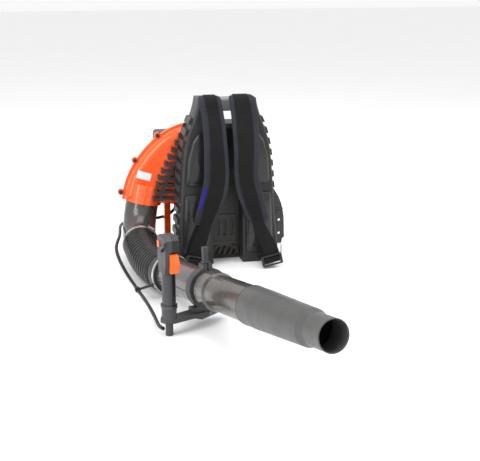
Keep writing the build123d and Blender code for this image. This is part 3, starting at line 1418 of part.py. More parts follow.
with BuildPart() as throttle_trigger:
    with BuildSketch(handle_side(TRIGGER_X[0], 0, 198)):
        with BuildLine():
            Polyline((-34, -24), (-26, -24), (-12, 0), (-6, 16), (-8, 24), (-24, 25), (-34, 20), (-41, 0), (-40, -14),
                     close=True)
        make_face()
    extrude(amount=TRIGGER_X[1] - TRIGGER_X[0])
    with BuildSketch(handle_side(TRIGGER_X[0] - 1, *TRIGGER_PIVOT)):
        Circle(PIN_R + RUN_FIT)
    extrude(amount=TRIGGER_X[1] - TRIGGER_X[0] + 2, mode=Mode.SUBTRACT)
throttle_trigger.part.label = "throttle_trigger"
export_step(throttle_trigger.part, "parts/throttle_trigger.step")

with BuildPart() as cruise_lever:
    with BuildSketch(handle_side(-HEAD_HALF - GAP, -8, 236)):
        Circle(9)
        with Locations((-14, 8)):
            Rectangle(30, 9, rotation=-30)
    extrude(amount=-6)
    with BuildSketch(handle_side(-HEAD_HALF - GAP, -8, 236)):
        Circle(4)
    extrude(amount=8)
cruise_lever.part.label = "cruise_lever"
export_step(cruise_lever.part, "parts/cruise_lever.step")

with BuildPart() as stop_switch:
    with BuildSketch(handle_side(-HEAD_HALF - 3, 14, 244)):
        Rectangle(12, 16)
    extrude(amount=11)
stop_switch.part.label = "stop_switch"
export_step(stop_switch.part, "parts/stop_switch.step")

# ---------------------------------------------------------------- throttle cable and its clip
CABLE_R = 5
CABLE_ROUTE = [
    (-296.5, -713.5, 18),
    (-304, -697, 17),
    (-305, -655, 16),
    (-306, -605, 18),
    (-310, -555, 22),
    (-315, -500, 25),
    (-322, -445, 28),
    (-330, -393, 34),
    (-341, -345, 45),
    (-353, -298, 63),
    (-362, -252, 82),
    (-363, -205, 94),
    (-354, -155, 100),
    (-341, -102, 102),
    (-333, -45, 103),
    (-327, 14, 104),
    (-313, 60, 104),
    (-281, 92, 102),
    (-238, 105, 100),
    (-196, 109, 101),
    (-156, 113, 108),
    (-130, 116, 130),
    (-118, 120, 165),
    (-110, 122, 205),
    (-96, 124, 245),
    (-88, 124, 276),
]
ARC_SHARE = 0.45       # part of the shorter run that an arc takes up


def bend_radii(route):
    """Largest radius for each corner of a route, so that neighbouring arcs don't meet."""
    radii = []
    for a, b, c in zip(route, route[1:], route[2:]):
        come = Vector(*b) - Vector(*a)
        go = Vector(*c) - Vector(*b)
        half_turn = radians(come.get_angle(go)) / 2
        radii.append(ARC_SHARE * min(come.length, go.length) / tan(half_turn))
    return radii


CLIP_MID = (Vector(*CABLE_ROUTE[6]) + Vector(*CABLE_ROUTE[7])) * 0.5
CLIP_DIR = (Vector(*CABLE_ROUTE[7]) - Vector(*CABLE_ROUTE[6])).normalized()
CLIP_TURN = radians(22)     # how far below level the clip stands on the hose clamp
CLIP_REACH = BELLOWS_OD / 2 + 3.4
clip_band = tube_plane(FRONT_CUFF - 6 - BAND_W / 2)
CLIP_FOOT = clip_band.origin - (TUBE_SIDE * cos(CLIP_TURN) + clip_band.y_dir * sin(CLIP_TURN)) * CLIP_REACH
with BuildPart() as cable_clip:
    with BuildSketch(Plane(origin=CLIP_FOOT, z_dir=CLIP_MID - CLIP_FOOT)):
        Rectangle(5, 8)
    extrude(amount=(CLIP_MID - CLIP_FOOT).length - CABLE_R)
    with BuildSketch(Plane(origin=CLIP_MID - CLIP_DIR * 5, z_dir=CLIP_DIR)):
        Circle(CABLE_R + 3)
    extrude(amount=10)
    with BuildSketch(Plane(origin=CLIP_MID - CLIP_DIR * 9, z_dir=CLIP_DIR)):
        Circle(CABLE_R + 0.3)
    extrude(amount=18, mode=Mode.SUBTRACT)
cable_clip.part.label = "cable_clip"
export_step(cable_clip.part, "parts/cable_clip.step")

cable_radii = bend_radii(CABLE_ROUTE)
with BuildPart() as throttle_cable:
    with BuildLine() as cable_path:
        FilletPolyline(*CABLE_ROUTE, radius=cable_radii)
    with BuildSketch(Plane(origin=CABLE_ROUTE[0], z_dir=Vector(*CABLE_ROUTE[1]) - Vector(*CABLE_ROUTE[0]))):
        Circle(CABLE_R)
    sweep()
throttle_cable.part.label = "throttle_cable"
export_step(throttle_cable.part, "parts/throttle_cable.step")
cable_length = sum(piece.length for piece in cable_path.edges())
print("cable radii", [round(r) for r in cable_radii])
print("cable length", round(cable_length), "volume", round(throttle_cable.part.volume),
      "section times length", round(cable_length * pi * CABLE_R ** 2))
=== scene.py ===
"""Looks of the backpack leaf blower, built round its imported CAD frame. Metres, +Z up."""

import math

import bpy
import numpy as np
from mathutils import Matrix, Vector
from mathutils.bvhtree import BVHTree


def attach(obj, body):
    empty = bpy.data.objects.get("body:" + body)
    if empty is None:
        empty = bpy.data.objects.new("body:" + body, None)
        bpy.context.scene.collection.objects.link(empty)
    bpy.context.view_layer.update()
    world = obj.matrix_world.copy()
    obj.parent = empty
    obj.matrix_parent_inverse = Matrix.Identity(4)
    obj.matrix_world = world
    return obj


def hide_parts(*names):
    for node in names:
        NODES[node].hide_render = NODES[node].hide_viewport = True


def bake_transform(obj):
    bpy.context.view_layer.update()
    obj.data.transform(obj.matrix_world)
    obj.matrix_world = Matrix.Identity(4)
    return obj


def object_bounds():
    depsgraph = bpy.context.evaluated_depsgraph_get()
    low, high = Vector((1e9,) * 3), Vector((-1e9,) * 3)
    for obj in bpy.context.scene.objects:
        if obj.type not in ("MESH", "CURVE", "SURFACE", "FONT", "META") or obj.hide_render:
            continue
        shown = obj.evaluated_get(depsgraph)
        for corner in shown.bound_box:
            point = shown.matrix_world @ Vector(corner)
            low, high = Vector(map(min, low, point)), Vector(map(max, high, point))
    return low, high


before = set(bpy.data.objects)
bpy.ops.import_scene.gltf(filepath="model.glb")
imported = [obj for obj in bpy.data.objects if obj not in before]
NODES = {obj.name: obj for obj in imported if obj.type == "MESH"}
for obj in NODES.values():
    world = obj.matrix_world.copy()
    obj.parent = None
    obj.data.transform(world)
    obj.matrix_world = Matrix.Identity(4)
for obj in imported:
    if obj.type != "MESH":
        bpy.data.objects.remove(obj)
cad_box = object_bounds()
MM = 0.001


def mm(x, y, z):
    """Point in the row frame from millimetres."""
    return Vector((x, y, z)) * MM


# ---------------------------------------------------------------- camera, floor and light
VIEW_AZIMUTH = math.radians(-12.6)
VIEW_ELEVATION = math.radians(15)
VIEW_DISTANCE = 3.4
SENSOR_WIDTH = 36
FOCAL_LENGTH = 77.59
LOOK_AT = Vector((0.0651, 0, 0.0719))


def place_camera():
    data = bpy.data.cameras.new("view")
    data.sensor_width = SENSOR_WIDTH
    data.lens = FOCAL_LENGTH
    camera = bpy.data.objects.new("view", data)
    bpy.context.scene.collection.objects.link(camera)
    back = Vector((
        math.sin(VIEW_AZIMUTH) * math.cos(VIEW_ELEVATION),
        -math.cos(VIEW_AZIMUTH) * math.cos(VIEW_ELEVATION),
        math.sin(VIEW_ELEVATION),
    ))
    camera.location = LOOK_AT + back * VIEW_DISTANCE
    camera.rotation_euler = back.to_track_quat("Z", "Y").to_euler()
    bpy.context.scene.camera = camera


def area_light(name, place, target, size, power):
    data = bpy.data.lights.new(name, "AREA")
    data.shape = "RECTANGLE"
    data.size, data.size_y = size
    data.energy = power
    lamp = bpy.data.objects.new(name, data)
    lamp.location = place
    lamp.rotation_euler = (Vector(place) - Vector(target)).to_track_quat("Z", "Y").to_euler()
    bpy.context.scene.collection.objects.link(lamp)


place_camera()
area_light("key_softbox", (-2.3, -2.0, 2.4), (-0.1, -0.3, 0.25), (1.6, 2.2), 62)
area_light("top_softbox", (0.3, -0.3, 2.9), (0, -0.3, 0), (2.6, 2.2), 46)
area_light("left_strip", (-2.5, -2.0, 0.7), (0, -0.1, 0.2), (0.45, 1.3), 20)
area_light("side_softbox", (2.4, -0.9, 1.3), (0, -0.3, 0.2), (1.2, 1.8), 22)

world = bpy.data.worlds.new("studio")
world.use_nodes = True
world.node_tree.nodes["Background"].inputs["Color"].default_value = (1, 1, 1, 1)
world.node_tree.nodes["Background"].inputs["Strength"].default_value = 0.95
bpy.context.scene.world = world
bpy.context.scene.view_settings.view_transform = "Standard"


# ---------------------------------------------------------------- materials
class Recipe:
    """A Principled material with its node helpers."""

    def __init__(self, name, metallic=0.0):
        self.material = bpy.data.materials.new(name)
        self.material.use_nodes = True
        self.nodes = self.material.node_tree.nodes
        self.links = self.material.node_tree.links
        self.shader = self.nodes["Principled BSDF"]
        self.set(Metallic=metallic)
        self.coords = self.nodes.new("ShaderNodeTexCoord").outputs["Object"]

    def set(self, **values):
        for key, value in values.items():
            self.shader.inputs[key.replace("_", " ")].default_value = value

    def noise(self, scale, detail=2.0, stretch=(1, 1, 1), distortion=0.0):
        mapping = self.nodes.new("ShaderNodeMapping")
        mapping.inputs["Scale"].default_value = stretch
        self.links.new(self.coords, mapping.inputs["Vector"])
        texture = self.nodes.new("ShaderNodeTexNoise")
        texture.inputs["Scale"].default_value = scale
        texture.inputs["Detail"].default_value = detail
        texture.inputs["Distortion"].default_value = distortion
        self.links.new(mapping.outputs["Vector"], texture.inputs["Vector"])
        return texture.outputs["Fac"]

    def ranged(self, value, low, high, start=0.3, end=0.7):
        node = self.nodes.new("ShaderNodeMapRange")
        for key, number in (("From Min", start), ("From Max", end), ("To Min", low), ("To Max", high)):
            node.inputs[key].default_value = number
        self.links.new(value, node.inputs["Value"])
        return node.outputs["Result"]

    def mixed(self, share, first, second):
        node = self.nodes.new("ShaderNodeMix")
        node.data_type = "RGBA"
        self.links.new(share, node.inputs["Factor"])
        for socket, colour in ((node.inputs[6], first), (node.inputs[7], second)):
            if isinstance(colour, (tuple, list)):
                socket.default_value = (*colour, 1)
            else:
                self.links.new(colour, socket)
        return node.outputs[2]

    def maths(self, kind, first, second=None):
        node = self.nodes.new("ShaderNodeMath")
        node.operation = kind
        for socket, value in zip(node.inputs, (first, second)):
            if isinstance(value, (int, float)):
                socket.default_value = value
            elif value is not None:
                self.links.new(value, socket)
        return node.outputs[0]

    def bump(self, height, strength, distance, under=None):
        node = self.nodes.new("ShaderNodeBump")
        node.inputs["Strength"].default_value = strength
        node.inputs["Distance"].default_value = distance
        self.links.new(height, node.inputs["Height"])
        if under is not None:
            self.links.new(under, node.inputs["Normal"])
        return node.outputs["Normal"]

    def rounded_edges(self, radius):
        node = self.nodes.new("ShaderNodeBevel")
        node.samples = 4
        node.inputs["Radius"].default_value = radius
        return node.outputs["Normal"]

    def finish(self, colour=None, rough=None, normal=None):
        for value, key in ((colour, "Base Color"), (rough, "Roughness"), (normal, "Normal")):
            if value is not None:
                self.links.new(value, self.shader.inputs[key])
        return self.material


def shade(colour, factor):
    return tuple(min(1, c * factor) for c in colour)


def moulded(name, colour, rough, grain=700, depth=0.12, mottle=0.14, coat=0.0, edge=0.0009, wear=0.25, spread=0.07,
            specular=0.3):
    """Moulded plastic or rubber: fine grain, faint flow marks, softened and paler edges."""
    r = Recipe(name)
    r.set(Coat_Weight=coat, Coat_Roughness=0.08, IOR=1.5, Specular_IOR_Level=specular)
    cloud = r.ranged(r.noise(11, 4, distortion=0.4), 0, 1)
    base = r.mixed(cloud, shade(colour, 1 - mottle), shade(colour, 1 + mottle))
    worn = r.nodes.new("ShaderNodeNewGeometry").outputs["Pointiness"]
    scuff = r.maths("MULTIPLY", r.ranged(worn, 0, wear, 0.52, 0.62), r.ranged(r.noise(60, 3), 0.2, 1))
    base = r.mixed(scuff, base, shade(tuple(c + 0.05 for c in colour), 1.7))
    smear = r.ranged(r.noise(38, 5, (1, 1, 0.4)), rough - spread, rough + spread)
    fine = r.bump(r.noise(grain, 3), depth, 0.0004, r.rounded_edges(edge))
    wave = r.bump(r.noise(26, 2), 0.06, 0.0012, fine)
    return r.finish(base, smear, wave)


def metal(name, colour, rough, stretch=(1, 1, 1), scale=300, depth=0.12, mottle=0.12):
    r = Recipe(name, metallic=1.0)
    cloud = r.ranged(r.noise(45, 4), 0, 1)
    base = r.mixed(cloud, shade(colour, 1 - mottle), shade(colour, 1 + mottle))
    brushed = r.noise(scale, 4, stretch)
    dull = r.ranged(brushed, rough - 0.08, rough + 0.12)
    return r.finish(base, dull, r.bump(brushed, depth, 0.0003, r.rounded_edges(0.0006)))


def woven(name, colour, pitch, rough=0.78, sheen=0.04):
    """Woven cloth or webbing: yarns of the given pitch in X and Z, with lint and fading."""
    r = Recipe(name)
    r.set(Sheen_Weight=sheen, Sheen_Roughness=0.45, IOR=1.45, Specular_IOR_Level=0.12)
    split = r.nodes.new("ShaderNodeSeparateXYZ")
    r.links.new(r.coords, split.inputs[0])
    turns = 2 * math.pi / pitch
    warp = r.maths("SINE", r.maths("MULTIPLY", split.outputs["X"], turns))
    weft = r.maths("SINE", r.maths("MULTIPLY", split.outputs["Z"], turns))
    weave = r.maths("MULTIPLY", warp, weft)
    lint = r.noise(1500, 2)
    height = r.maths("ADD", weave, lint)
    faded = r.ranged(r.noise(16, 5), 0.0, 1.0)
    base = r.mixed(faded, shade(colour, 0.8), shade(colour, 1.25))
    # raised yarn crossings painted paler: painted highlight on the weave tops
    painted_yarn_sheen = r.mixed(r.ranged(weave, 0, 0.45, -1, 1), base, shade(colour, 1.9))
    return r.finish(painted_yarn_sheen, r.ranged(lint, rough - 0.08, rough + 0.1), r.bump(height, 0.5, pitch * 0.35))


MATERIALS = {
    "frame_plastic": moulded("frame_plastic", (0.022, 0.022, 0.024), 0.4, 620, 0.2),
    "handle_grey": moulded("handle_grey", (0.042, 0.043, 0.047), 0.44, 700, 0.22),
    # paler copy of handle_grey for the carry handle's bar: painted light from above on the same grey plastic
    "handle_grey_painted_lit": moulded("handle_grey_painted_lit", (0.16, 0.165, 0.17), 0.42, 700, 0.2),
    "panel_olive": moulded("panel_olive", (0.036, 0.034, 0.028), 0.5, 520, 0.25),
    "pad_foam": moulded("pad_foam", (0.015, 0.015, 0.0145), 0.3, 480, 0.25, mottle=0.2, coat=0.35, spread=0.08),
    "housing_orange": moulded("housing_orange", (0.86, 0.085, 0.006), 0.27, 420, 0.03, 0.05, coat=0.45,
                              edge=0.0014, wear=0.12, spread=0.05),
    "duct_plastic": moulded("duct_plastic", (0.05, 0.045, 0.04), 0.24, 360, 0.05, 0.16, coat=0.35, specular=0.5),
    "bellows_rubber": moulded("bellows_rubber", (0.0075, 0.0075, 0.008), 0.3, 900, 0.15, mottle=0.25, wear=0.08),
    "nozzle_plastic": moulded("nozzle_plastic", (0.062, 0.062, 0.061), 0.4, 560, 0.16, 0.12, coat=0.05),
    "black_plastic": moulded("black_plastic", (0.01, 0.01, 0.0105), 0.38, 640, 0.2),
    "trigger_orange": moulded("trigger_orange", (0.9, 0.12, 0.01), 0.3, 420, 0.05, 0.05, coat=0.3, wear=0.1),
    "steel": metal("steel", (0.62, 0.62, 0.61), 0.27, (1, 1, 12)),
    "cast_alloy": metal("cast_alloy", (0.5, 0.5, 0.51), 0.5, scale=900, depth=0.35),
    "dark_steel": moulded("dark_steel", (0.03, 0.03, 0.031), 0.38, 800, 0.15),
    "filter_foam": moulded("filter_foam", (0.5, 0.44, 0.3), 0.9, 300, 0.8, mottle=0.2, coat=0),
    "tank_plastic": moulded("tank_plastic", (0.6, 0.58, 0.52), 0.38, 500, 0.12, mottle=0.06),
    "ceramic": moulded("ceramic", (0.8, 0.79, 0.76), 0.16, 200, 0.03, mottle=0.04, coat=0.5),
    "strap_cloth": woven("strap_cloth", (0.022, 0.024, 0.029), 0.0011, 0.72),
    "webbing": woven("webbing", (0.0075, 0.0075, 0.008), 0.0019, 0.66, 0.02),
    "thread": woven("thread", (0.02, 0.02, 0.022), 0.0006, 0.6),
    "label_blue": woven("label_blue", (0.018, 0.012, 0.22), 0.0007, 0.5),
    "plate_silver": moulded("plate_silver", (0.66, 0.68, 0.7), 0.3, 900, 0.08, mottle=0.05, wear=0.0),
}
OWN_FINISH = {
    # the carry handle takes the lit copy of the handle grey (painted light from above)
    "carry_handle": "handle_grey_painted_lit",
    "vent_panel": "panel_olive",
}
for node_name, node in NODES.items():
    slot = node.data.materials[0].name.split(".")[0]
    node.data.materials[0] = MATERIALS[OWN_FINISH.get(node_name, slot)]


# ---------------------------------------------------------------- mesh helpers
def add_mesh(name, verts, faces, material):
    """New smooth-shaded object."""
    mesh = bpy.data.meshes.new(name)
    mesh.from_pydata([tuple(v) for v in verts], [], faces)
    mesh.validate()
    mesh.materials.append(MATERIALS[material])
    mesh.polygons.foreach_set("use_smooth", [True] * len(mesh.polygons))
    mesh.update()
    piece = bpy.data.objects.new(name, mesh)
    bpy.context.scene.collection.objects.link(piece)
    return piece


def skin(rings, closed=False):
    """Faces between rings of equal size; the last ring joins the first when closed."""
    n = len(rings[0])
    verts = [v for ring in rings for v in ring]
    faces = []
    for i in range(len(rings) if closed else len(rings) - 1):
        a, b = i * n, (i + 1) % len(rings) * n
        faces += [(a + k, a + (k + 1) % n, b + (k + 1) % n, b + k) for k in range(n)]
    if not closed:
        faces.append(tuple(reversed(range(n))))
        faces.append(tuple(range((len(rings) - 1) * n, len(rings) * n)))
    return verts, faces


def frames_along(points, first_side):
    """Side and up vectors carried along a path without twist."""
    side = Vector(first_side)
    out = []
    for i, p in enumerate(points):
        ahead = points[min(i + 1, len(points) - 1)] - points[max(i - 1, 0)]
        ahead.normalize()
        side = (side - ahead * side.dot(ahead)).normalized()
        out.append((p, side.copy(), ahead.cross(side), ahead))
    return out


def ring_at(spot, radius, count):
    p, side, up, ahead = spot
    return [p + side * (radius * math.cos(a)) + up * (radius * math.sin(a))
            for a in (2 * math.pi * k / count for k in range(count))]


# ---------------------------------------------------------------- throttle cable
CABLE_ROUTE = [
    (-296.5, -713.5, 18), (-304, -697, 17), (-305, -655, 16), (-306, -605, 18), (-310, -555, 22),
    (-315, -500, 25), (-322, -445, 28), (-330, -393, 34), (-341, -345, 45), (-353, -298, 63),
    (-362, -252, 82), (-363, -205, 94), (-354, -155, 100), (-341, -102, 102), (-333, -45, 103),
    (-327, 14, 104), (-313, 60, 104), (-281, 92, 102), (-238, 105, 100), (-196, 109, 101),
    (-156, 113, 108), (-130, 116, 130), (-118, 120, 165), (-110, 122, 205), (-96, 124, 245),
    (-88, 124, 276),
]
CABLE_R = 0.005


def route_points(route):
    """Points read from a NURBS spline whose control points are the route."""
    data = bpy.data.curves.new("cable_route", "CURVE")
    data.dimensions = "3D"
    spline = data.splines.new("NURBS")
    spline.points.add(len(route) - 1)
    for point, place in zip(spline.points, route):
        point.co = (*mm(*place), 1)
    spline.order_u = 3
    spline.use_endpoint_u = True
    spline.resolution_u = 12
    holder = bpy.data.objects.new("cable_route", data)
    bpy.context.scene.collection.objects.link(holder)
    bpy.context.view_layer.update()
    mesh = bpy.data.meshes.new_from_object(holder)
    points = [v.co.copy() for v in mesh.vertices]
    bpy.data.objects.remove(holder)
    return points


def build_cable():
    points = route_points(CABLE_ROUTE)
    cuts = [-0.615, -0.445, -0.262]
    stops = [0]
    for cut in cuts:
        stops.append(next(i for i, p in enumerate(points) if i > stops[-1] and p.y > cut))
    stops.append(len(points) - 1)
    # where each stretch turns from one body to the next
    stretches = [
        ("throttle_cable_handle", "handle", "tube", -0.700, -0.630),
        ("throttle_cable_tube", "tube", "hose_front", -0.600, -0.470),
        ("throttle_cable_hose", "hose_front", "hose_middle", -0.375, -0.285),
        ("throttle_cable_engine", "hose_middle", "machine", -0.245, -0.120),
    ]
    spots = frames_along(points, (0, 0, 1))
    for (name, before, after, start_y, end_y), a, b in zip(stretches, stops, stops[1:]):
        verts, faces = skin([ring_at(s, CABLE_R, 16) for s in spots[a:b + 1]])
        piece = add_mesh(name, verts, faces, "bellows_rubber")
        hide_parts("throttle_cable")
        last = min(points[a:b + 1], key=lambda p: abs(p.y - end_y))
        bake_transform(piece)


build_cable()

# ---------------------------------------------------------------- corrugated hose
HOSE_START = mm(-272.29, -70.66, 70.42)
HOSE_BEND_REAR = mm(-273.754, -190.438, 63.244)
HOSE_BEND_FRONT = mm(-253.937, -313.66, 55.123)
HOSE_END = mm(-226.775, -429.463, 70.994)
HOSE_MIDDLE = (HOSE_BEND_REAR + HOSE_BEND_FRONT) * 0.5
HOSE_R = 0.0564
HOSE_BORE = 0.0531
RIB_PITCH = 0.0186
RIB_DEPTH = 0.0052
REAR_CUFF = 0.030
FRONT_SLEEVE = 0.062


def bend(a, corner, b, steps):
    """Smooth half of the hose's centre line, from a past the corner to b."""
    reach = 0.72
    p1, p2 = a.lerp(corner, reach), b.lerp(corner, reach)
    out = []
    for i in range(steps + 1):
        t = i / steps
        out.append(a * (1 - t) ** 3 + p1 * (3 * t * (1 - t) ** 2) + p2 * (3 * t * t * (1 - t)) + b * t ** 3)
    return out


def hose_radius(run, whole):
    """Outer radius of the hose after a run along it: cuff, ribs, then a tapered sleeve."""
    last = whole - FRONT_SLEEVE
    if run < REAR_CUFF:
        return HOSE_R
    if run > last:
        part = min((run - last) / 0.022, 1)
        return HOSE_R - RIB_DEPTH * 0.75 * (1 - part) ** 2
    phase = (run - REAR_CUFF) / RIB_PITCH
    crest = abs(math.sin(math.pi * phase))
    return HOSE_R - RIB_DEPTH + RIB_DEPTH * crest ** 0.55


def build_hose():
    steps = 150
    line = bend(HOSE_START, HOSE_BEND_REAR, HOSE_MIDDLE, steps)
    line += bend(HOSE_END, HOSE_BEND_FRONT, HOSE_MIDDLE, steps)[::-1][1:]
    runs = [0.0]
    for a, b in zip(line, line[1:]):
        runs.append(runs[-1] + (b - a).length)
    spots = frames_along(line, (1, 0, 0))
    around = 96
    for name, node, first, last in (("hose_rear", "bellows_rear", 0, steps),
                                    ("hose_front", "bellows_front", steps, 2 * steps)):
        outer = [ring_at(spots[i], hose_radius(runs[i], runs[-1]), around) for i in range(first, last + 1)]
        inner = []
        for i in range(last, first - 1, -6):
            ribbed = REAR_CUFF + 0.004 < runs[i] < runs[-1] - FRONT_SLEEVE + 0.026
            inner.append(ring_at(spots[i], HOSE_BORE - (0.003 if ribbed else 0), around))
        verts, faces = skin(outer + inner, closed=True)
        piece = add_mesh(name, verts, faces, "bellows_rubber")
        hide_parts(node)
        if first == 0:
            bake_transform(piece)
        else:
            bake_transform(piece)


build_hose()


def hose_clamp(name, node, body, origin, ahead, side, turn):
    """Worm-drive band clamp: band with rolled edges, screw housing and slotted hexagonal screw."""
    ahead = ahead.normalized()
    side = (side - ahead * side.dot(ahead)).normalized()
    up = ahead.cross(side)
    inner, outer, half = 0.0566, 0.0576, 0.0055
    section = [(inner, -half), (outer, -half), (outer + 0.0005, -half * 0.85), (outer, -half * 0.7),
               (outer, half * 0.7), (outer + 0.0005, half * 0.85), (outer, half), (inner, half)]
    rings = []
    for k in range(120):
        a = 2 * math.pi * k / 120
        out = side * math.cos(a) + up * math.sin(a)
        rings.append([origin + out * r + ahead * w for r, w in section])
    verts, faces = skin(rings, closed=True)
    out = side * math.cos(turn) + up * math.sin(turn)
    along = ahead.cross(out)
    middle = origin + out * (outer + 0.0028)

    def add_rod(profile, sides, square=1.0):
        """Rod along the band's tangent; profile is (place, half width, half height)."""
        base = len(verts)
        rod = []
        for place, wide, tall in profile:
            ring = []
            for k in range(sides):
                a = 2 * math.pi * (k + 0.5) / sides
                c, q = math.cos(a), math.sin(a)
                ring.append(middle + along * place + ahead * (wide * math.copysign(abs(c) ** square, c))
                            + out * (tall * math.copysign(abs(q) ** square, q)))
            rod.append(ring)
        rod_verts, rod_faces = skin(rod)
        verts.extend(rod_verts)
        faces.extend(tuple(base + i for i in face) for face in rod_faces)

    add_rod([(-0.0085, 0.003, 0.0026), (-0.008, 0.0046, 0.0036), (0.006, 0.0046, 0.0036), (0.0065, 0.003, 0.0026)],
            24, 0.4)
    add_rod([(0.0065, 0.0026, 0.0026), (0.0082, 0.0026, 0.0026)], 20)
    add_rod([(0.0082, 0.0036, 0.0036), (0.0086, 0.0041, 0.0041), (0.0118, 0.0041, 0.0041), (0.0123, 0.0034, 0.0034),
             (0.0124, 0.0022, 0.0022), (0.0112, 0.0020, 0.0020)], 6)
    clamp = add_mesh(name, verts, faces, "steel")
    for polygon in clamp.data.polygons:
        polygon.use_smooth = polygon.index < 120 * len(section)
    clamp.data.set_sharp_from_angle(angle=math.radians(35))
    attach(clamp, body)
    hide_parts(node)


HOSE_AXIS_REAR = mm(-0.01217, -0.99813, -0.05982) / MM
TUBE_AXIS = Vector((0.226345, -0.965027, 0.132256))
hose_clamp("hose_clamp_rear", "rear_hose_clamp", "machine", HOSE_START + HOSE_AXIS_REAR * 0.011, HOSE_AXIS_REAR,
           Vector((1, 0, 0)), math.radians(55))
hose_clamp("hose_clamp_front", "front_hose_clamp", "hose_front", HOSE_END - TUBE_AXIS * 0.0115, TUBE_AXIS,
           Vector((0.97358, 0.22835, 0)), math.radians(78))


# ---------------------------------------------------------------- back pads
def rounded_outline(corners, radius, per_corner=7, per_side=10):
    """Points round a polygon whose corners are rounded; corners are (x, z) in mm."""
    out = []
    n = len(corners)
    ends = []
    for i in range(n):
        p, q, r = (np.array(corners[k % n], float) for k in (i - 1, i, i + 1))
        u, v = (p - q) / np.linalg.norm(p - q), (r - q) / np.linalg.norm(r - q)
        turn = math.acos(float(np.clip(u @ v, -1, 1)))
        cut = min(radius / math.tan(turn / 2), 0.45 * np.linalg.norm(p - q), 0.45 * np.linalg.norm(r - q))
        ends.append((q + u * cut, q, q + v * cut))
    for i in range(n):
        start, q, stop = ends[i]
        for k in range(per_corner + 1):
            t = k / per_corner
            out.append(start * (1 - t) ** 2 + q * 2 * t * (1 - t) + stop * t * t)
        following = ends[(i + 1) % n][0]
        for k in range(1, per_side):
            out.append(stop + (following - stop) * k / per_side)
    return out


def build_pad(name, corners, side):
    """Crowned moulded pad with a rolled edge, a seam groove and a ridge along its outer half."""
    back, depth = -120.0, 15.6
    corners = [(side * x, z) for x, z in corners]
    outline = rounded_outline(corners, 15)
    middle = np.mean([np.array(c) for c in corners], axis=0)
    middle[0] += side * 9
    rings = []
    for share, rise in ((0.99, 0.0), (1.0, 0.10), (0.998, 0.30), (0.985, 0.47), (0.965, 0.56), (0.945, 0.575),
                        (0.93, 0.56), (0.915, 0.585), (0.89, 0.66), (0.85, 0.745), (0.79, 0.815), (0.71, 0.87),
                        (0.6, 0.915), (0.47, 0.95), (0.33, 0.975), (0.18, 0.99), (0.06, 1.0)):
        ring = []
        for p in outline:
            x, z = middle + (np.array(p) - middle) * share
            ripple = 0.25 * math.sin(z / 17.0) * (1 - share)
            ring.append(mm(x, back - depth * rise - ripple, z))
        rings.append(ring)
    verts, faces = skin(rings)
    piece = add_mesh(name, verts, faces, "pad_foam")
    smoothing = piece.modifiers.new("smooth", "SUBSURF")
    smoothing.levels = smoothing.render_levels = 1
    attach(piece, "machine")
    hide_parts("back_pads")


UPPER_PAD = [(57, 256), (133, 256), (127.5, 340), (112, 397), (92, 424), (57, 407)]
LOWER_PAD = [(57, 35), (146, 35), (137, 228), (57, 228)]
for pad_side, word in ((-1, "left"), (1, "right")):
    build_pad("back_pad_upper_" + word, UPPER_PAD, pad_side)
    build_pad("back_pad_lower_" + word, LOWER_PAD, pad_side)

# ---------------------------------------------------------------- shoulder straps
STRAP_FOOT, STRAP_HEAD = 136.0, 529.0
BINDING = 16.5         # mm of padded cloth that shows beside the webbing
BINDING_SHIFT = 2.5    # the webbing lies this much nearer the inner edge, mm
PAD_HALF = 3.7         # half thickness of the padded strap, mm
WEB_T = 1.7            # thickness of the webbing, mm
WEB_LOCK_W = 49        # width of the webbing at the ladder lock, mm
OUTLINES = {
    "left": (
        [(-116, 150), (-100, 215), (-86, 283), (-85, 376), (-87, 470), (-96, 529)],
        [(-49, 136), (-30, 190), (-12, 240), (-7, 300), (-12, 376), (-17, 460), (-25, 529)],
    ),
    "right": (
        [(126, 140), (105, 215), (84, 283), (87, 376), (86, 470), (80, 529)],
        [(59, 136), (36, 190), (14, 250), (8, 300), (7, 376), (4, 460), (0, 529)],
    ),
}


def eased(marks, z):
    """Smoothed X of an outline at height z, both in mm."""
    heights, places = [m[1] for m in marks], [m[0] for m in marks]
    return float(np.mean([np.interp(z + d, heights, places) for d in np.linspace(-20, 20, 11)]))


def strap_line(foot):
    """(y, z) of the strap's middle plane, from its foot up and over the frame's top edge, mm."""
    out = []
    for z in np.linspace(foot, 503, 120):
        share = (z - STRAP_FOOT) / (STRAP_HEAD - STRAP_FOOT)
        front = -158 - 24 * math.sin(math.pi * min(max(share, 0), 1)) + 64 * max(share - 0.75, 0)
        out.append((front + 6, z))
    y0, z0 = out[-1]
    for t in np.linspace(0.08, 1, 16):
        turn = t * math.radians(100)
        out.append((y0 + 22 * (1 - math.cos(turn)) + 12 * t * t, z0 + 27.5 * math.sin(min(turn, math.pi / 2))))
    return out


def strap_spots(foot):
    """Middle point (y, z) and front normal for each row of a strap, mm."""
    line = strap_line(foot)
    spots = []
    for i, (y, z) in enumerate(line):
        (ya, za), (yb, zb) = line[max(i - 1, 0)], line[min(i + 1, len(line) - 1)]
        span = math.hypot(yb - ya, zb - za)
        spots.append((y, z, -(zb - za) / span, (yb - ya) / span))
    return spots


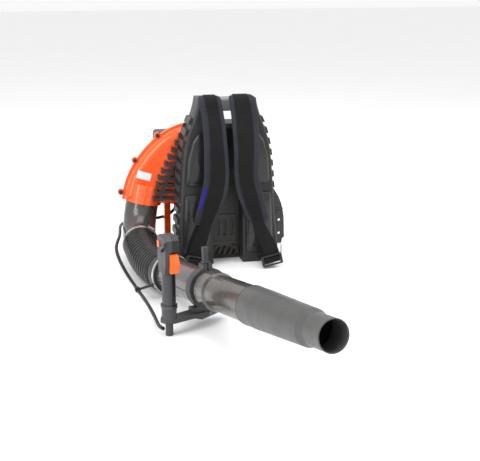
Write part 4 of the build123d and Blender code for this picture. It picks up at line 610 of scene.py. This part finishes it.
def padded_strap(word):
    """The padded cloth strap; its ends are rounded and its edges are rolled."""
    outer_marks, inner_marks = OUTLINES[word]
    rings = []
    spots = strap_spots(STRAP_FOOT + 1)
    count = len(spots)
    for i, (y, z, ny, nz) in enumerate(spots):
        xo, xi = eased(outer_marks, z), eased(inner_marks, z)
        end = min(i, count - 1 - i)
        taper = math.sqrt(max(1 - (1 - min(end / 9, 1)) ** 2, 0.02))
        width = xi - xo
        tuck = 0.5 * abs(width) * (1 - taper) * 0.35
        sign = 1 if width > 0 else -1
        xo, xi = xo + sign * tuck, xi - sign * tuck
        width = abs(xi - xo)
        front, back = [], []
        for d in (0, 0.5, 1.6, 3.2, 5.5, 8.5, 12, 14.5, 16.3, 18.5, 24, width / 2,
                  width - 24, width - 18.5, width - 16.3, width - 14.5, width - 12, width - 8.5,
                  width - 5.5, width - 3.2, width - 1.6, width - 0.5, width):
            near = min(d, width - d)
            rise = math.sqrt(max(1 - (1 - min(near / 5.5, 1)) ** 2, 0))
            roll = 0.4 * math.sin(math.pi * min(near / BINDING, 1))
            sag = 0.9 * math.exp(-((near - 15.8) / 1.6) ** 2)
            half = (PAD_HALF * rise + roll - sag) * (0.35 + 0.65 * taper)
            half = max(half, 0.05)
            buckle = 0.35 * math.sin(z / 19 + 1.3 * d / width) + 0.15 * math.sin(z / 7.1 + d / 6)
            x = xo + sign * d
            front.append(mm(x, y + ny * (half + buckle), z + nz * (half + buckle)))
            back.append(mm(x, y - ny * (half - buckle), z - nz * (half - buckle)))
        rings.append(front + back[::-1][1:-1])
    verts, faces = skin(rings)
    piece = add_mesh("shoulder_strap_" + word + "_pad", verts, faces, "strap_cloth")
    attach(piece, "machine")
    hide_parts("shoulder_strap_" + word)


def strip(name, centres, normals, across, widths, thickness, material):
    """Flat band: centres, front normals, across directions and widths for each row."""
    rings = []
    half = thickness / 2
    for c, n, a, w in zip(centres, normals, across, widths):
        front = [c + a * (w * u) + n * (half * (1 - 0.5 * abs(2 * u) ** 8)) for u in
                 (-0.5, -0.49, -0.46, -0.3, -0.1, 0.1, 0.3, 0.46, 0.49, 0.5)]
        back = [c + a * (w * u) - n * (half * (1 - 0.5 * abs(2 * u) ** 8)) for u in
                (0.5, 0.49, 0.46, 0.3, 0.1, -0.1, -0.3, -0.46, -0.49, -0.5)]
        rings.append(front + back)
    verts, faces = skin(rings)
    return add_mesh(name, verts, faces, material)


def add_stitches(name, rows, length=0.0034, width=0.0009):
    """Sewn threads as small raised bars; rows are (place, direction, normal)."""
    verts, faces = [], []
    for place, along, normal in rows:
        side = along.cross(normal).normalized()
        base = len(verts)
        for t, scale in ((-0.5, 0.25), (-0.32, 1), (0, 1.1), (0.32, 1), (0.5, 0.25)):
            for a in range(6):
                turn = math.pi * a / 3
                verts.append(place + along * (t * length) + side * (math.cos(turn) * width * scale / 2)
                             + normal * (math.sin(turn) * width * scale * 0.45))
        for r in range(4):
            for a in range(6):
                b = (a + 1) % 6
                faces.append((base + 6 * r + a, base + 6 * r + b, base + 6 * r + 6 + b, base + 6 * r + 6 + a))
        faces.append(tuple(base + k for k in reversed(range(6))))
        faces.append(tuple(base + 24 + k for k in range(6)))
    piece = add_mesh(name, verts, faces, "thread")
    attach(piece, "machine")
    return piece


BUCKLES = {
    "left": (Vector((-112, -172, 26)), -14),
    "right": (Vector((122, -204, 27)), 12),
}


def webbing(word):
    """Webbing sewn down the strap, then on to the ladder lock, round its bar and back to the frame."""
    outer_marks, inner_marks = OUTLINES[word]
    lock, roll = BUCKLES[word]
    centres, widths, flats = [], [], []
    for y, z, ny, nz in reversed(strap_spots(STRAP_FOOT + 6)):
        xo, xi = eased(outer_marks, z), eased(inner_marks, z)
        lift = PAD_HALF + WEB_T / 2 + 0.35
        shift = BINDING_SHIFT if xi > xo else -BINDING_SHIFT
        centres.append(Vector(((xo + xi) / 2 + shift, y + ny * lift, z + nz * lift)))
        widths.append(abs(xi - xo) - 2 * BINDING)
        flats.append(1.0)
    sewn = len(centres)
    foot = centres[-1]
    hang = [lock + Vector((0, 6, 22)), lock + Vector((0, 5, 13)), lock + Vector((0, 0, 9)),
            lock + Vector((0, -5.2, 5)), lock + Vector((0, -5.6, 0)), lock + Vector((0, -5.0, -5)),
            lock + Vector((0, 0, -9)), lock + Vector((0, 6, -10.5)), lock + Vector((0, 14, -10)),
            Vector((lock.x, -140, 18)), Vector((lock.x, -121.5, 20))]
    knots = [foot] + [foot.lerp(hang[0], t) + Vector((0, 2.5 * math.sin(math.pi * t), 0))
                      for t in (0.15, 0.4, 0.7)] + hang
    for a, b in zip(knots, knots[1:]):
        steps = max(2, int((b - a).length / 3))
        for k in range(1, steps + 1):
            centres.append(a.lerp(b, k / steps))
            t = min((centres[-1] - foot).length / 90, 1)
            widths.append(widths[sewn - 1] * (1 - t) + WEB_LOCK_W * t)
            flats.append(1 - t)
    for sweep in range(3):
        centres = [centres[0]] + [(a + b * 2 + c) / 4 for a, b, c in zip(centres, centres[1:], centres[2:])] \
            + [centres[-1]]
    tilt = Vector((math.cos(math.radians(roll)), 0, math.sin(math.radians(roll))))
    across, normals, places = [], [], []
    for i, c in enumerate(centres):
        ahead = (centres[min(i + 1, len(centres) - 1)] - centres[max(i - 1, 0)]).normalized()
        wide = Vector((1, 0, 0)).lerp(tilt, 1 - flats[i])
        wide = (wide - ahead * (wide.dot(ahead) * (1 - 0.999 * flats[i]))).normalized()
        across.append(wide)
        normals.append(ahead.cross(wide).normalized())
        places.append(c * MM)
    if normals[40].y > 0:
        normals = [-n for n in normals]
    piece = strip("webbing_" + word, places, normals, across, [w * MM for w in widths], WEB_T * MM, "webbing")
    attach(piece, "machine")
    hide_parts("strap_webbing")
    rows = []
    gone = 0.0
    for i in range(1, sewn - 2):
        gone += (places[i] - places[i - 1]).length
        if gone < 0.0052:
            continue
        gone = 0.0
        ahead = (places[i + 1] - places[i - 1]).normalized()
        for edge in (-1, 1):
            spot = places[i] + across[i] * (edge * (widths[i] / 2 - 2.6) * MM) + normals[i] * (WEB_T / 2 * MM)
            rows.append((spot, ahead, normals[i]))
    # boxed crosses at the head and the foot
    for middle, tall in ((sewn - 14, 18), (26, 16)):
        for u in np.linspace(-0.36, 0.36, 9):
            for slope in (-1, 1):
                i = middle + int(round(slope * u * tall / 2.6))
                spot = places[i] + across[i] * (u * widths[i] * MM) + normals[i] * (WEB_T / 2 * MM)
                ahead = (places[i + 1] - places[i - 1]).normalized()
                rows.append((spot, (across[i] * 0.8 + ahead * slope * 0.6).normalized(), normals[i]))
        for i in (middle - tall // 3, middle + tall // 3):
            for u in np.linspace(-0.38, 0.38, 9):
                spot = places[i] + across[i] * (u * widths[i] * MM) + normals[i] * (WEB_T / 2 * MM)
                rows.append((spot, across[i], normals[i]))
    add_stitches("stitching_" + word, rows)


for strap_word in ("left", "right"):
    padded_strap(strap_word)
    webbing(strap_word)


def strap_label():
    """Plain cloth tab sewn on the left strap's outer binding."""
    centres, normals, across, widths = [], [], [], []
    for y, z, ny, nz in strap_spots(STRAP_FOOT + 1):
        if 192 < z < 262:
            x = eased(OUTLINES["left"][0], z) + 5 + 5.5 * (z - 192) / 70
            centres.append(mm(x, y + ny * (PAD_HALF + 0.9), z + nz * (PAD_HALF + 0.9)))
            normals.append(Vector((0, ny, nz)))
            across.append(Vector((0.97, 0, -0.24)))
            widths.append(8.5 * MM)
    tab = strip("strap_label", centres, normals, across, widths, 0.7 * MM, "label_blue")
    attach(tab, "machine")


strap_label()


# ---------------------------------------------------------------- rating plate
def rating_plate():
    """Blank silver plate that follows the fan housing's front."""
    node = NODES["fan_housing_front"]
    tree = BVHTree.FromPolygons([v.co for v in node.data.vertices], [p.vertices for p in node.data.polygons])
    columns, rows = 14, 8
    along, down = Vector((44, 0, -13.5)), Vector((-7, 0, -23))
    corner = Vector((-266, 0, 290))
    verts = []
    last = -12.0           # depth used until the first ray meets the housing, mm
    for r in range(rows + 1):
        for c in range(columns + 1):
            p = corner + along * (c / columns) + down * (r / rows)
            hit = tree.ray_cast(mm(p.x, -80, p.z), Vector((0, 1, 0)), 0.1)
            if hit[0] is not None:
                last = hit[0].y / MM
            verts.append(mm(p.x, last - 0.35, p.z))
    wide = columns + 1
    faces = [(r * wide + c, r * wide + c + 1, (r + 1) * wide + c + 1, (r + 1) * wide + c)
             for r in range(rows) for c in range(columns)]
    plate = add_mesh("rating_plate", verts, faces, "plate_silver")
    body = plate.modifiers.new("thickness", "SOLIDIFY")
    body.thickness = 0.0006
    body.offset = 0
    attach(plate, "machine")


rating_plate()

# ---------------------------------------------------------------- floor
bpy.ops.mesh.primitive_plane_add(size=30, location=(0, 0, min(0.0, cad_box[0].z)))
floor = bpy.context.active_object
floor.name = "floor"
paper = Recipe("studio_paper")
floor.data.materials.append(paper.finish(
    paper.mixed(paper.ranged(paper.noise(3, 3), 0, 1), (0.90, 0.90, 0.90), (0.92, 0.92, 0.92)),
    paper.ranged(paper.noise(8, 2), 0.62, 0.75)))
